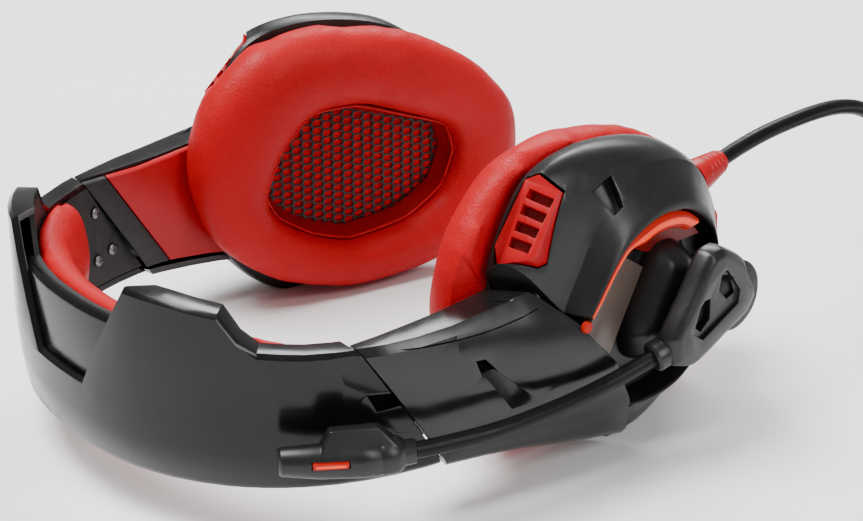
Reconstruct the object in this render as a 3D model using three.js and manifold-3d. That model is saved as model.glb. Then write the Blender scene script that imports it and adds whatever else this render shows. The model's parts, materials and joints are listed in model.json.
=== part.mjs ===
// Gaming headset lying with its headband level: ear cups at +Y, crown at -Y.
// Millimetres, +Z up, mirror symmetric about X = 0 except for the microphone and the cable.
import * as THREE from 'three';
import { mergeVertices } from 'three/addons/utils/BufferGeometryUtils.js';
import Module from 'manifold-3d';

const wasm = await Module();
wasm.setup();

// ---- Driving dimensions -------------------------------------------------------------
const GAP = 0.3; // clearance between neighbouring pieces
const WALL = 2.2; // moulded shell thickness
const BAND = {
  halfWidth: 88, depth: 95, power: 2.2, bottom: 17, top: 61.5, thick: 8, lean: 2, hem: 2.4,
};
const WING = { inner: 13, rise: 32, outer: 58, foot: 66, top: 77, notch: 41 };
const SEAM = { y: -42, z: 61, slope: 0.62, gap: 0.5 }; // crown to arm split plane
const JOINT = { x: 75, y: 8, z: 66, slopeX: 0.8, slopeZ: 0.62, gap: 1.5 }; // arm to cup groove
const ARM = { innerX: 75.9, plate: 1.7 };
const RAIL = { thick: 1.5, height: 14, z: 39, startY: -44, length: 52, inset: 5.25, endInset: 3.6 };
const SLIDE = new THREE.Vector3(0.187, 0.982, 0).normalize();
const CUP = { x: 57, y: 50, toe: 8, centreS: 8, centreZ: 50 };
const CUSHION = { front: -7, back: 11.5 };
const HINGE = { x: 83, y: 21, radius: 2.2, bottom: 34, top: 65.5 };
const ARM_CLEAR = 2; // room for the cup swivel beside the arm's inner face
const BOOM = { radius: 2.6 };
const CABLE = { radius: 2.6 };
const COIL = { x: 92, y: 276, innerTurn: 22, pitch: 5.4, across: 4, layers: 3, bulge: 1.5, low: 1.1 };
const TIE = { width: 12, thick: 0.75 };
const PLUG = { x: 142, width: 16, height: 8.4, length: 34, shellLength: 13 };

// Outlines in the cup plane as [along the cup, height] pairs.
const CUSHION_OUTLINE = [
  [-55, 56], [-49, 79], [-31, 96], [-6, 100], [28, 93], [56, 77], [72, 58], [73, 36], [62, 14],
  [38, 3.5], [4, 1.5], [-26, 11], [-47, 29],
];
const HOUSING_OUTLINE = [
  [-47, 52], [-42, 76], [-28, 95.5], [-6, 100], [27, 93], [48, 76], [57, 58], [56, 36], [48, 18],
  [35, 5], [22, -2], [4, -5], [-22, 2], [-42, 24],
];
const CREASE_OUTLINE = [
  [-27, 54], [-18, 70], [-8, 86], [6, 91.5], [20, 91.5], [33, 86], [41, 76], [45, 61], [44, 40],
  [38, 24], [27, 13], [6, 8], [-17, 20], [-28, 36],
];
const RECESS_OUTLINE = [
  [-27, 45], [-18, 59], [-6, 72], [10, 77.5], [25, 75], [36, 65], [40, 48], [36, 29], [22, 18],
  [-2, 18], [-20, 28],
];
const EAR_OPENING = [
  [-27, 42], [-21, 57], [-9, 69], [8, 69], [27, 62], [44, 55], [47, 45], [42, 32], [28, 23],
  [5, 20], [-10, 25], [-23, 34],
];

// ---- Colours ------------------------------------------------------------------------
const LOOKS = {
  glossBlack: { color: 0x0b0b0c, roughness: 0.12, metalness: 0 },
  satinBlack: { color: 0x1b1b1d, roughness: 0.45, metalness: 0 },
  softBlack: { color: 0x141416, roughness: 0.65, metalness: 0 },
  redPlastic: { color: 0xd8101c, roughness: 0.4, metalness: 0 },
  redLeather: { color: 0xd40e18, roughness: 0.6, metalness: 0 },
  redCloth: { color: 0xb60f16, roughness: 0.9, metalness: 0 },
  glowRed: { color: 0xff4a24, roughness: 0.3, metalness: 0 },
  steel: { color: 0xa6a8ac, roughness: 0.3, metalness: 1 },
  boardGreen: { color: 0x1c4a2c, roughness: 0.5, metalness: 0 },
};

// ---- Geometry helpers ---------------------------------------------------------------
const vec = (x, y, z) => new THREE.Vector3(x, y, z);
const mix = THREE.MathUtils.lerp;
const radians = THREE.MathUtils.degToRad;

function interpolate(points, x) {
  // Piecewise linear value of a profile given as [x, value] pairs in rising x.
  if (x <= points[0][0]) return points[0][1];
  for (let i = 1; i < points.length; i += 1) {
    const [x1, y1] = points[i];
    const [x0, y0] = points[i - 1];
    if (x <= x1) return mix(y0, y1, (x - x0) / (x1 - x0));
  }
  return points[points.length - 1][1];
}

function signedVolume(positions, index) {
  let volume = 0;
  const a = vec();
  const b = vec();
  const c = vec();
  for (let i = 0; i < index.length; i += 3) {
    a.fromArray(positions, index[i] * 3);
    b.fromArray(positions, index[i + 1] * 3);
    c.fromArray(positions, index[i + 2] * 3);
    volume += a.dot(b.clone().cross(c)) / 6;
  }
  return volume;
}

function indexedGeometry(positions, index) {
  const geometry = new THREE.BufferGeometry();
  if (signedVolume(positions, index) < 0) index.reverse();
  geometry.setAttribute('position', new THREE.Float32BufferAttribute(positions, 3));
  geometry.setIndex(index);
  return geometry;
}

function capTriangles(ring) {
  // Triangulates a nearly flat ring in the plane of its own average normal.
  const normal = vec();
  ring.forEach((p, i) => normal.add(p.clone().cross(ring[(i + 1) % ring.length])));
  const turn = new THREE.Quaternion().setFromUnitVectors(normal.normalize(), vec(0, 0, 1));
  const plane = ring.map((p) => p.clone().applyQuaternion(turn));
  return THREE.ShapeUtils.triangulateShape(plane.map((p) => new THREE.Vector2(p.x, p.y)), []);
}

function loft(rings, closed = false) {
  // Skins rings of equal length; an open loft is capped at both ends.
  const size = rings[0].length;
  const positions = rings.flat().flatMap((p) => [p.x, p.y, p.z]);
  const index = [];
  const spans = closed ? rings.length : rings.length - 1;
  for (let r = 0; r < spans; r += 1) {
    const next = (r + 1) % rings.length;
    for (let i = 0; i < size; i += 1) {
      const j = (i + 1) % size;
      const [a, b, c, d] = [r * size + i, r * size + j, next * size + j, next * size + i];
      index.push(a, b, c, a, c, d);
    }
  }
  if (!closed) {
    const last = (rings.length - 1) * size;
    for (const [a, b, c] of capTriangles(rings[0])) index.push(c, b, a);
    for (const [a, b, c] of capTriangles(rings[rings.length - 1])) {
      index.push(last + a, last + b, last + c);
    }
  }
  return indexedGeometry(positions, index);
}

function bare(geometry) {
  const copy = geometry.clone();
  ['normal', 'uv'].forEach((name) => copy.deleteAttribute(name));
  return mergeVertices(copy, 1e-4);
}

function solidOf(geometry) {
  const merged = bare(geometry);
  return new wasm.Manifold(new wasm.Mesh({
    numProp: 3,
    vertProperties: new Float32Array(merged.attributes.position.array),
    triVerts: new Uint32Array(merged.index.array),
  }));
}

function geometryOf(solid) {
  const mesh = solid.getMesh();
  return indexedGeometry(Array.from(mesh.vertProperties), Array.from(mesh.triVerts));
}

function cut(geometry, ...tools) {
  return geometryOf(tools.reduce((solid, tool) => solid.subtract(solidOf(tool)), solidOf(geometry)));
}

function join(...parts) {
  const [first, ...others] = parts;
  return geometryOf(others.reduce((solid, part) => solid.add(solidOf(part)), solidOf(first)));
}

function common(geometry, ...tools) {
  return geometryOf(tools.reduce((solid, tool) => solid.intersect(solidOf(tool)), solidOf(geometry)));
}

function halfSpace(point, normal) {
  // A large block filling the side of a plane that its normal points into.
  const size = 600;
  const unit = normal.clone().normalize();
  const block = new THREE.BoxGeometry(size, size, size);
  block.translate(0, 0, size / 2);
  block.applyQuaternion(new THREE.Quaternion().setFromUnitVectors(vec(0, 0, 1), unit));
  block.translate(point.x, point.y, point.z);
  return block;
}

function box(low, high) {
  const block = new THREE.BoxGeometry(high.x - low.x, high.y - low.y, high.z - low.z);
  const middle = low.clone().add(high).multiplyScalar(0.5);
  return block.translate(middle.x, middle.y, middle.z);
}

function mirrored(geometry) {
  const positions = Array.from(geometry.attributes.position.array);
  const index = Array.from(geometry.index.array);
  for (let i = 0; i < positions.length; i += 3) positions[i] *= -1;
  return indexedGeometry(positions, index.reverse());
}

function rodBetween(from, to, radius, sides = 16, radiusEnd = radius) {
  const rod = new THREE.CylinderGeometry(radiusEnd, radius, from.distanceTo(to), sides);
  const direction = to.clone().sub(from).normalize();
  rod.applyQuaternion(new THREE.Quaternion().setFromUnitVectors(vec(0, 1, 0), direction));
  const middle = from.clone().add(to).multiplyScalar(0.5);
  return rod.translate(middle.x, middle.y, middle.z);
}

function tubeAlong(points, radius, sides, steps) {
  const section = new THREE.Shape();
  section.absarc(0, 0, radius, 0, Math.PI * 2);
  const curve = new THREE.CatmullRomCurve3(points, false, 'centripetal');
  return new THREE.ExtrudeGeometry(section, { steps, extrudePath: curve, curveSegments: sides / 2 });
}

// ---- Scene graph --------------------------------------------------------------------
const headset = new THREE.Group();
const onCord = new Set();

function addPiece(name, look, geometry, isCord = false) {
  const material = new THREE.MeshStandardMaterial(LOOKS[look]);
  const mesh = new THREE.Mesh(geometry, material);
  mesh.name = name;
  if (isCord) onCord.add(mesh);
  headset.add(mesh);
  return mesh;
}

function addPair(name, look, geometry) {
  // The modelled piece is the one at +X, on the microphone side.
  const indexed = bare(geometry);
  addPiece(`${name}_mic_side`, look, indexed);
  addPiece(`${name}_plain_side`, look, mirrored(indexed));
}

// ---- Headband -----------------------------------------------------------------------
function bandPoint(angle, inset, z) {
  // Point on the band's plan curve, moved inwards along its normal.
  const { halfWidth, depth, power } = BAND;
  const sine = Math.abs(Math.sin(angle));
  const cosine = Math.abs(Math.cos(angle));
  const x = halfWidth * Math.sign(angle) * sine ** (2 / power);
  const y = -depth * cosine ** (2 / power);
  const slopeX = Math.sign(x) * (Math.abs(x) / halfWidth) ** (power - 1) / halfWidth;
  const slopeY = Math.sign(y) * (Math.abs(y) / depth) ** (power - 1) / depth;
  const normal = vec(slopeX, slopeY, 0).normalize();
  return vec(x - normal.x * inset, y - normal.y * inset, z);
}

function bandAngle(x) {
  return Math.asin((x / BAND.halfWidth) ** (BAND.power / 2));
}

function bandAngles(limit, corners, step) {
  // Angles from -limit to limit that include every corner, at most one step apart.
  const keys = [0, ...corners.map(bandAngle), limit];
  const half = [];
  for (let i = 1; i < keys.length; i += 1) {
    const count = Math.ceil((keys[i] - keys[i - 1]) / step);
    for (let k = 0; k < count; k += 1) half.push(mix(keys[i - 1], keys[i], k / count));
  }
  half.push(limit);
  return [...half.slice(1).map((a) => -a).reverse(), ...half];
}

const WING_PROFILE = [
  [WING.inner, WING.notch], [20, 55], [27, 68], [WING.rise, WING.top], [44, WING.top - 0.8],
  [WING.outer, WING.top - 3], [62, 66.5], [WING.foot, BAND.top + 0.8], [74, BAND.top],
];

function bandLoft(angles, section) {
  // section(angle, x) lists [inset, z] pairs around one closed cross-section.
  return loft(angles.map((angle) => {
    const x = Math.abs(bandPoint(angle, 0, 0).x);
    return section(x, angle).map(([inset, z]) => bandPoint(angle, inset, z));
  }));
}

function seamPoint(offset) {
  const normal = vec(0, 1, SEAM.slope).normalize();
  return { point: vec(0, SEAM.y, SEAM.z).addScaledVector(normal, offset), normal };
}

function crownSide(geometry) {
  const { point, normal } = seamPoint(-SEAM.gap / 2);
  return common(geometry, halfSpace(point, normal.negate()));
}

function armSide(geometry) {
  const { point, normal } = seamPoint(SEAM.gap / 2);
  return common(geometry, halfSpace(point, normal));
}

const CORNERS = [WING.inner, 20, 27, WING.rise, 44, WING.outer, 62, WING.foot, 74];

function crownCover() {
  const bevel = 1.4;
  const cover = bandLoft(bandAngles(radians(85), CORNERS, radians(6)), (x) => {
    const top = interpolate(WING_PROFILE, x);
    const lip = x < WING.rise + 1 ? WALL + 0.2 : BAND.thick;
    const { bottom, thick } = BAND;
    return [
      [3.4, bottom], [BAND.lean, bottom + 2], [BAND.lean * 0.3, bottom + 13], [0, bottom + 23],
      [0, top - bevel], [bevel, top], [lip, top], [lip, top - WALL], [WALL, top - WALL], [WALL, bottom + 15],
      [WALL + BAND.lean * 0.6, bottom + 8], [WALL + BAND.lean, bottom + WALL + 1],
      [thick, bottom + WALL + BAND.hem], [thick, bottom + BAND.hem],
    ];
  });
  return crownSide(cover);
}

function crownCenterPanel() {
  const angles = bandAngles(bandAngle(WING.rise - 1.4), [], radians(5));
  const bottom = WING.notch - 3;
  const top = 64;
  return bandLoft(angles, () => [
    [WALL + GAP, bottom], [WALL + GAP, top - 1.5], [WALL + 1.5, top],
    [BAND.thick - 2.2, top], [BAND.thick - 2.2, 49], [WALL + 1.8, 48], [WALL + 1.8, bottom],
  ]);
}

function crownLiner() {
  const liner = bandLoft(bandAngles(radians(84), CORNERS, radians(7)), (x) => {
    const top = x < WING.rise + 1 ? 63 : interpolate(WING_PROFILE, x) - WALL - GAP;
    const low = BAND.bottom + BAND.hem + WALL + GAP;
    const inner = BAND.thick - 0.1;
    return [[inner - 1.6, low], [inner - 1.6, top], [inner, top], [inner, low]];
  });
  return crownSide(liner);
}

function crownPad() {
  const endAngle = radians(61);
  const angles = bandAngles(endAngle, [], radians(6));
  return bandLoft(angles, (x, angle) => {
    const fade = Math.sqrt(Math.max(0, 1 - (Math.abs(angle) / endAngle) ** 8)) * 0.8 + 0.2;
    const back = BAND.thick + GAP;
    const front = back + 12 * fade;
    const low = mix(34, 21, fade);
    const high = mix(50, 64.5, fade);
    return [
      [back, low + 2], [back, high - 2], [back + 3 * fade, high], [front - 2.5 * fade, high - 5 * fade],
      [front, (low + high) / 2], [front - 2.5 * fade, low + 5 * fade], [back + 3 * fade, low],
    ];
  });
}

function railStart() {
  // Where the curved spring strip ends and its straight rail starts.
  const angle = Math.acos((-RAIL.startY / BAND.depth) ** (BAND.power / 2));
  return { angle, point: bandPoint(angle, RAIL.endInset, RAIL.z) };
}

function railRing(centre, across) {
  const half = RAIL.thick / 2;
  return [[-half, -1], [half, -1], [half, 1], [-half, 1]].map(([side, up]) => {
    const p = centre.clone().addScaledVector(across, side);
    p.z = RAIL.z + up * RAIL.height / 2;
    return p;
  });
}

function headbandSpring() {
  const start = railStart();
  const angles = bandAngles(start.angle, [], radians(7));
  const curved = angles.map((angle) => {
    const towardsEnd = THREE.MathUtils.smoothstep(Math.abs(angle) / start.angle, 0.5, 1);
    const inset = mix(RAIL.inset, RAIL.endInset, towardsEnd);
    const centre = bandPoint(angle, inset, RAIL.z);
    const outer = bandPoint(angle, inset - 1, RAIL.z);
    return railRing(centre, outer.sub(centre));
  });
  const straight = (side) => [0.12, 0.5, 1].map((part) => {
    const centre = start.point.clone().addScaledVector(SLIDE, RAIL.length * part);
    const across = vec(SLIDE.y, -SLIDE.x, 0);
    centre.x *= side;
    across.x *= side;
    return railRing(centre, across);
  });
  return loft([...straight(-1).reverse(), ...curved, ...straight(1)]);
}

const SCREW = { headRadius: 2, headThick: 1, places: [[-40.5, 49], [-40.5, 31.5], [-33, 33]] };

function linerScrew(y, z) {
  // Round head lying on the liner's inner face.
  const angle = Math.acos((-y / BAND.depth) ** (BAND.power / 2));
  const from = bandPoint(angle, BAND.thick - 0.1 + GAP, z);
  const to = bandPoint(angle, BAND.thick - 0.1 + GAP + SCREW.headThick, z);
  return rodBetween(from, to, SCREW.headRadius, 16);
}

// ---- Arms ---------------------------------------------------------------------------
// Cross-sections along Y: outer x at the top edge, at mid height and at the bottom edge,
// top z and bottom z.
const ARM_SECTIONS = [
  { y: -43, top: 80.6, mid: 81.6, low: 80.6, high: 61.5, bottom: 17 },
  { y: -33, top: 83.9, mid: 85, low: 84, high: 61.5, bottom: 17 },
  { y: -24, top: 86, mid: 87.6, low: 86, high: 61.8, bottom: 17 },
  { y: -12, top: 87.4, mid: 90, low: 87.6, high: 62.4, bottom: 16.5 },
  { y: 0, top: 88, mid: 92, low: 88.6, high: 63.6, bottom: 15.5 },
  { y: 12, top: 88.4, mid: 94.5, low: 89.6, high: 65, bottom: 14 },
  { y: 26, top: 89, mid: 96.6, low: 90, high: 66, bottom: 11 },
  { y: 40, top: 89.6, mid: 98, low: 90, high: 66, bottom: 8 },
  { y: 56, top: 90, mid: 98, low: 90, high: 66, bottom: 5 },
];

function armOutline(section, inset) {
  const { y, top, mid, low, high, bottom } = section;
  const middle = mix(bottom, high, 0.52);
  const outer = [
    [low - 2, bottom], [low, bottom + 2.5], [mix(low, mid, 0.7), mix(bottom, middle, 0.5)], [mid, middle],
    [mix(top, mid, 0.65), mix(high, middle, 0.45)], [top, high - 2.5], [top - 2, high],
  ];
  const pulled = (z) => (z > middle ? Math.min(z, high - inset) : Math.max(z, bottom + inset));
  return outer.map(([x, z]) => vec(x - inset, y, pulled(z)));
}

function jointPlane(offset) {
  const normal = vec(-JOINT.slopeX, 1, JOINT.slopeZ).normalize();
  return { point: vec(JOINT.x, JOINT.y, JOINT.z).addScaledVector(normal, offset), normal };
}

function armEnd(geometry, offset = -JOINT.gap) {
  const { point, normal } = jointPlane(offset);
  return common(geometry, halfSpace(point, normal.clone().negate()));
}

function armCover() {
  const inner = ARM.innerX;
  const rings = ARM_SECTIONS.map((section) => {
    const outer = armOutline(section, 0);
    const core = armOutline(section, WALL);
    const last = outer[outer.length - 1];
    const first = outer[0];
    const coreHigh = core[core.length - 1].z;
    const coreLow = core[0].z;
    return [
      vec(inner, section.y, first.z + BAND.hem), ...outer, vec(inner, section.y, last.z),
      vec(inner, section.y, coreHigh), ...core.slice().reverse(), vec(inner, section.y, coreLow + BAND.hem),
    ];
  });
  return armEnd(armSide(loft(rings)));
}

function armPlate(fromY, toY) {
  // Flat plate lining the arm's inner face between two slanted ends.
  const xOuter = ARM.innerX - GAP;
  const xInner = xOuter - ARM.plate;
  const edge = 0.8;
  const steps = 8;
  const rings = [];
  for (let i = 0; i <= steps; i += 1) {
    const y = mix(fromY, toY, i / steps);
    const low = plateLow(y);
    const high = plateHigh(y);
    rings.push([
      vec(xOuter, y, low), vec(xOuter, y, high), vec(xInner, y, high - edge), vec(xInner, y, low + edge),
    ]);
  }
  return loft(rings);
}

const plateHigh = (y) => interpolate([[-50, 60.6], [-20, 61], [12, 64.5], [60, 65]], y);
const plateLow = (y) => interpolate([[-50, 21.5], [-34, 22], [-16, 23], [-4, 22.5], [12, 20], [56, 11]], y);
const RED_EDGE = { y: -31, z: 58, slope: 0.62 }; // slanted front edge of the red panel

function redEdgeSpace(towardsCup, offset) {
  const normal = vec(0, 1, RED_EDGE.slope).normalize();
  const point = vec(0, RED_EDGE.y, RED_EDGE.z).addScaledVector(normal, offset);
  return halfSpace(point, towardsCup ? normal : normal.negate());
}

function armRedPanel() {
  const panel = armPlate(-45, 56);
  return armEnd(common(panel, redEdgeSpace(true, GAP / 2)), -JOINT.gap - 0.6);
}

function armInnerFrame() {
  const plate = armPlate(-45, 20);
  return armSide(common(plate, redEdgeSpace(false, -GAP / 2)));
}

function railFrame(alongRail) {
  return railStart().point.clone().addScaledVector(SLIDE, alongRail);
}

function slideBlock(from, to, halfThick, halfHeight) {
  // Block centred on the rail's line, stretched along the slide direction.
  const across = vec(SLIDE.y, -SLIDE.x, 0);
  const ring = (centre) => [[-1, -1], [1, -1], [1, 1], [-1, 1]].map(([side, up]) => {
    const p = centre.clone().addScaledVector(across, side * halfThick);
    p.z = RAIL.z + up * halfHeight;
    return p;
  });
  return loft([ring(railFrame(from)), ring(railFrame(to))]);
}

function sliderGuide() {
  const body = slideBlock(15, RAIL.length + 4, 3, 10);
  const slot = slideBlock(5, RAIL.length + 20, RAIL.thick / 2 + GAP, RAIL.height / 2 + GAP);
  return armSide(cut(body, slot));
}

function hingeBlock() {
  const { x, y, radius, bottom } = HINGE;
  const block = box(vec(x - 4.8, y - 5, bottom - 8), vec(x + 4.4, y + 5.5, 59));
  const bore = rodBetween(vec(x, y, bottom), vec(x, y, 90), radius + 0.1, 20);
  return cut(armEnd(block, -JOINT.gap - 0.4), bore);
}

function hingePin() {
  const { x, y, radius, bottom, top } = HINGE;
  return rodBetween(vec(x, y, bottom + GAP), vec(x, y, top), radius, 20);
}

// ---- Ear cups -----------------------------------------------------------------------
const TOE = radians(CUP.toe);
const ALONG = vec(-Math.sin(TOE), Math.cos(TOE), 0);
const OUTWARD = vec(Math.cos(TOE), Math.sin(TOE), 0);

function cupPoint(s, z, d) {
  // s along the cup, z up, d outwards from the plane just behind the ear cushion's face.
  return vec(CUP.x, CUP.y, z).addScaledVector(ALONG, s).addScaledVector(OUTWARD, d);
}

function roundOutline(points, count) {
  const curve = new THREE.CatmullRomCurve3(points.map(([s, z]) => vec(s, z, 0)), true, 'centripetal');
  return curve.getSpacedPoints(count).slice(0, count).map((p) => [p.x, p.y]);
}

function alignedOutline(points, count) {
  // Resamples an outline so that its points lie at equal angles about the cup centre.
  const fine = roundOutline(points, 400).map(([s, z]) => {
    const angle = Math.atan2(z - CUP.centreZ, s - CUP.centreS);
    return { s, z, angle };
  });
  const near = (angle) => fine.reduce((best, p) => {
    const error = Math.abs(Math.atan2(Math.sin(p.angle - angle), Math.cos(p.angle - angle)));
    return error < best.error ? { error, p } : best;
  }, { error: 9, p: fine[0] }).p;
  return Array.from({ length: count }, (_, i) => {
    const p = near((i / count) * Math.PI * 2);
    return [p.s, p.z];
  });
}

const SIDES = 40;
const CUSHION_RING = alignedOutline(CUSHION_OUTLINE, SIDES);
const HOUSING_RING = alignedOutline(HOUSING_OUTLINE, SIDES);
const CREASE_RING = alignedOutline(CREASE_OUTLINE, SIDES);
const RECESS_RING = alignedOutline(RECESS_OUTLINE, SIDES);
const OPENING_RING = alignedOutline(EAR_OPENING, SIDES);

function blend(from, to, part) {
  return from.map(([s, z], i) => [mix(s, to[i][0], part), mix(z, to[i][1], part)]);
}

function shrink(outline, scale) {
  return outline.map(([s, z]) => [mix(CUP.centreS, s, scale), mix(CUP.centreZ, z, scale)]);
}

function inset(outline, distance) {
  // Moves every point towards the cup centre by a fixed distance.
  return outline.map(([s, z]) => {
    const reach = Math.hypot(s - CUP.centreS, z - CUP.centreZ);
    const scale = (reach - distance) / reach;
    return [mix(CUP.centreS, s, scale), mix(CUP.centreZ, z, scale)];
  });
}

function placed(outline, d) {
  return outline.map(([s, z]) => cupPoint(s, z, d));
}

function cupLoft(profile) {
  return loft(profile.map(([outline, d]) => placed(outline, d)));
}

function armRegion(clearX, offset) {
  // The space kept free for the arm beside the cup.
  const { point, normal } = jointPlane(offset);
  return common(halfSpace(vec(clearX, 0, 0), vec(1, 0, 0)), halfSpace(point, normal.clone().negate()));
}

function clearOfArm(geometry, room = ARM_CLEAR) {
  return cut(geometry, armRegion(ARM.innerX - ARM.plate - GAP - room, JOINT.gap));
}

const BODY_BACK = 12; // depth at which the housing meets the baffle's rim

function hollow(outline, wall) {
  // Inner outline of the shell, kept above the flat underside.
  return inset(outline, wall).map(([s, z]) => [s, Math.max(z, WALL)]);
}

function cupHousing() {
  const shoulder = blend(HOUSING_RING, CREASE_RING, 0.3);
  const lip = blend(CREASE_RING, RECESS_RING, 0.8);
  const floor = inset(RECESS_RING, 1);
  const shell = cupLoft([
    [inset(floor, 4), 24.6], [inset(floor, -1), 24.6], [inset(RECESS_RING, -WALL), 32.6],
    [inset(lip, 2), 32.6], [inset(CREASE_RING, 2), 26.4], [hollow(shoulder, WALL), 21.6],
    [hollow(HOUSING_RING, WALL), 18.5], [hollow(HOUSING_RING, WALL + 0.6), BODY_BACK],
    [inset(HOUSING_RING, 0.8), BODY_BACK], [HOUSING_RING, 14.5], [HOUSING_RING, 18.5], [shoulder, 23.4],
    [CREASE_RING, 28.4], [lip, 35], [blend(lip, RECESS_RING, 0.7), 35.6], [RECESS_RING, 35],
    [floor, 27],
  ]);
  const foot = halfSpace(vec(0, 0, 0), vec(0, 0, 1));
  return cut(clearOfArm(common(shell, foot), ARM_CLEAR + 2), pinHole(), gripPocket(), reliefSeat(GAP));
}

function pinHole() {
  const { x, y, radius, top } = HINGE;
  return rodBetween(vec(x, y, 30), vec(x, y, top + 1), radius + 0.35, 20);
}

function cupBaffle() {
  const rim = inset(HOUSING_RING, 4);
  const plate = cupLoft([[rim, BODY_BACK - 2.4], [rim, BODY_BACK - GAP]]);
  const seat = inset(CUSHION_RING, 4.5);
  const seated = common(plate, cupLoft([[seat, 0], [seat, 20]]), halfSpace(vec(0, 0, 5), vec(0, 0, 1)));
  return clearOfArm(cut(seated, driverDisc(23.4, -10, 30)));
}

const DRIVER = { s: 8, z: 50 };

function driverDisc(radius, from, to) {
  const a = cupPoint(DRIVER.s, DRIVER.z, from);
  return rodBetween(a, cupPoint(DRIVER.s, DRIVER.z, to), radius, 32);
}

function latheAt(profile, s, z, d, sides = 28) {
  const shape = new THREE.LatheGeometry(profile.map(([r, h]) => new THREE.Vector2(r, h)), sides);
  const turn = new THREE.Quaternion().setFromUnitVectors(vec(0, 1, 0), OUTWARD);
  shape.applyQuaternion(turn);
  const place = cupPoint(s, z, d);
  return shape.translate(place.x, place.y, place.z);
}

function driver() {
  const profile = [[0, 0], [23, 0], [23, 4], [19, 6], [13, 7.5], [13, 11.5], [0, 11.5]];
  return latheAt(profile, DRIVER.s, DRIVER.z, 9.8);
}

function circuitBoard() {
  // Sound and light electronics behind the driver.
  const corners = [[-8, 32], [26, 32], [26, 66], [-8, 66]];
  return cupLoft([[corners, 22.1], [corners, 23.5]]);
}

function sectionRing(innerPoint, outerPoint, profile) {
  return profile.map(([across, d]) => cupPoint(
    mix(innerPoint[0], outerPoint[0], across),
    mix(innerPoint[1], outerPoint[1], across),
    d,
  ));
}

function earCushion() {
  const { front, back } = CUSHION;
  const rings = CUSHION_RING.map((outerPoint, i) => sectionRing(OPENING_RING[i], outerPoint, [
    [0.03, back - 2.5], [0, front + 9], [0.08, front + 3.5], [0.28, front + 0.4], [0.58, front],
    [0.84, front + 2], [0.96, front + 5.5], [1, front + 10], [0.99, back - 4], [0.965, back - 0.5],
    [0.93, back - 0.5], [0.92, back - 2.5],
  ]));
  return clearOfArm(loft(rings, true));
}

function openingPlate(scale, from, to) {
  const outline = shrink(OPENING_RING, scale);
  return cupLoft([[outline, from], [outline, to]]);
}

function lightRing() {
  // Glowing strip inside the hood of the recess, from the arm joint over the top.
  const first = Math.round(SIDES * 0.07);
  const last = Math.round(SIDES * 0.475);
  const outer = inset(RECESS_RING, 1 + GAP);
  const rings = [];
  for (let i = first; i <= last; i += 1) {
    const width = mix(5.4, 3.4, (i - first) / (last - first));
    const inner = inset(RECESS_RING, 1 + GAP + width);
    const profile = [[outer, 30.5], [outer, 34.5], [inner, 33.7], [inner, 31]];
    rings.push(profile.map(([ring, d]) => cupPoint(...ring[i], d)));
  }
  return loft(rings);
}

const BOSS = { s: 22, z: 43, radius: 16.4, base: 29.6, top: 42.4 };
const PIVOT = { s: 30, z: 48.5, radius: 3.9, knob: 10.5 };

function outerCap(bored) {
  // Inner panel of the recess with the broad round boss that carries the pivot.
  const edge = inset(RECESS_RING, 8);
  const floor = cupLoft([[edge, 27 + GAP], [edge, 28.6], [inset(edge, 3), 29.8]]);
  const { s, z, radius, base, top } = BOSS;
  const rise = top - base;
  const boss = latheAt([[0, -2], [radius, -2], [radius - 0.2, rise * 0.5], [radius - 0.8, rise * 0.85],
    [radius - 2.2, rise], [0, rise]], s, z, base, 36);
  const cap = join(floor, boss);
  return bored ? cut(cap, latheAt([[0, 0], [4.2, 0], [4.2, 30], [0, 30]], PIVOT.s, PIVOT.z, 30, 20)) : cap;
}

function prism(points, shift) {
  // Solid between a polygon in cup coordinates and its copy moved by the shift.
  const [along, up, out] = shift;
  const start = points.map(([s, z, d]) => cupPoint(s, z, d));
  return loft([start, points.map(([s, z, d]) => cupPoint(s + along, z + up, d + out))]);
}

// Slanted face of the ribbed grip: along the cup, height, depth.
const GRIP_FACE = [
  [-27, 94, 13.5], [-25, 96, 17], [-22, 91.5, 23], [-34.5, 75.5, 25.5], [-37, 74.5, 24.5],
  [-39.5, 70.5, 14], [-40, 77, 13.5],
];
const GRIP = { sink: [4.4, -3.6, -1], slots: 4 };

function grown(points, margin) {
  const middle = [0, 1, 2].map((axis) => points.reduce((sum, p) => sum + p[axis], 0) / points.length);
  const reach = 13;
  return points.map((p) => p.map((value, axis) => mix(middle[axis], value, 1 + margin / reach)));
}

function sunk(points, part) {
  // Moves a face along the grip's sinking direction; negative lifts it.
  return points.map((p) => p.map((value, axis) => value + GRIP.sink[axis] * part));
}

function sinking(part) {
  return GRIP.sink.map((value) => value * part);
}

function gripPocket() {
  return prism(sunk(grown(GRIP_FACE, 1), -2), sinking(3.1));
}

function redGrip() {
  const body = prism(sunk(GRIP_FACE, -0.35), sinking(1.35));
  const along = [-13, -17.5, 0.5];
  const slots = [];
  for (let i = 0; i < GRIP.slots; i += 1) {
    const start = (i + 0.25) / (GRIP.slots + 0.35);
    const corner = (part, side) => [
      mix(-26.3, -23.3, side) + along[0] * part, mix(92.6, 90.4, side) + along[1] * part,
      mix(15.5, 22.5, side) + along[2] * part,
    ];
    const span = 0.14;
    const hole = [corner(start, 0), corner(start, 1), corner(start + span, 1), corner(start + span, 0)];
    slots.push(prism(sunk(hole, -1), sinking(1.45)));
  }
  return cut(body, ...slots);
}

// ---- Microphone ---------------------------------------------------------------------
const HUB_OUTLINE = [
  [-4, 49], [-2, 37], [6, 34], [34, 45.5], [36, 50], [29.5, 59], [26, 65], [14, 71], [5, 60],
];

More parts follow.
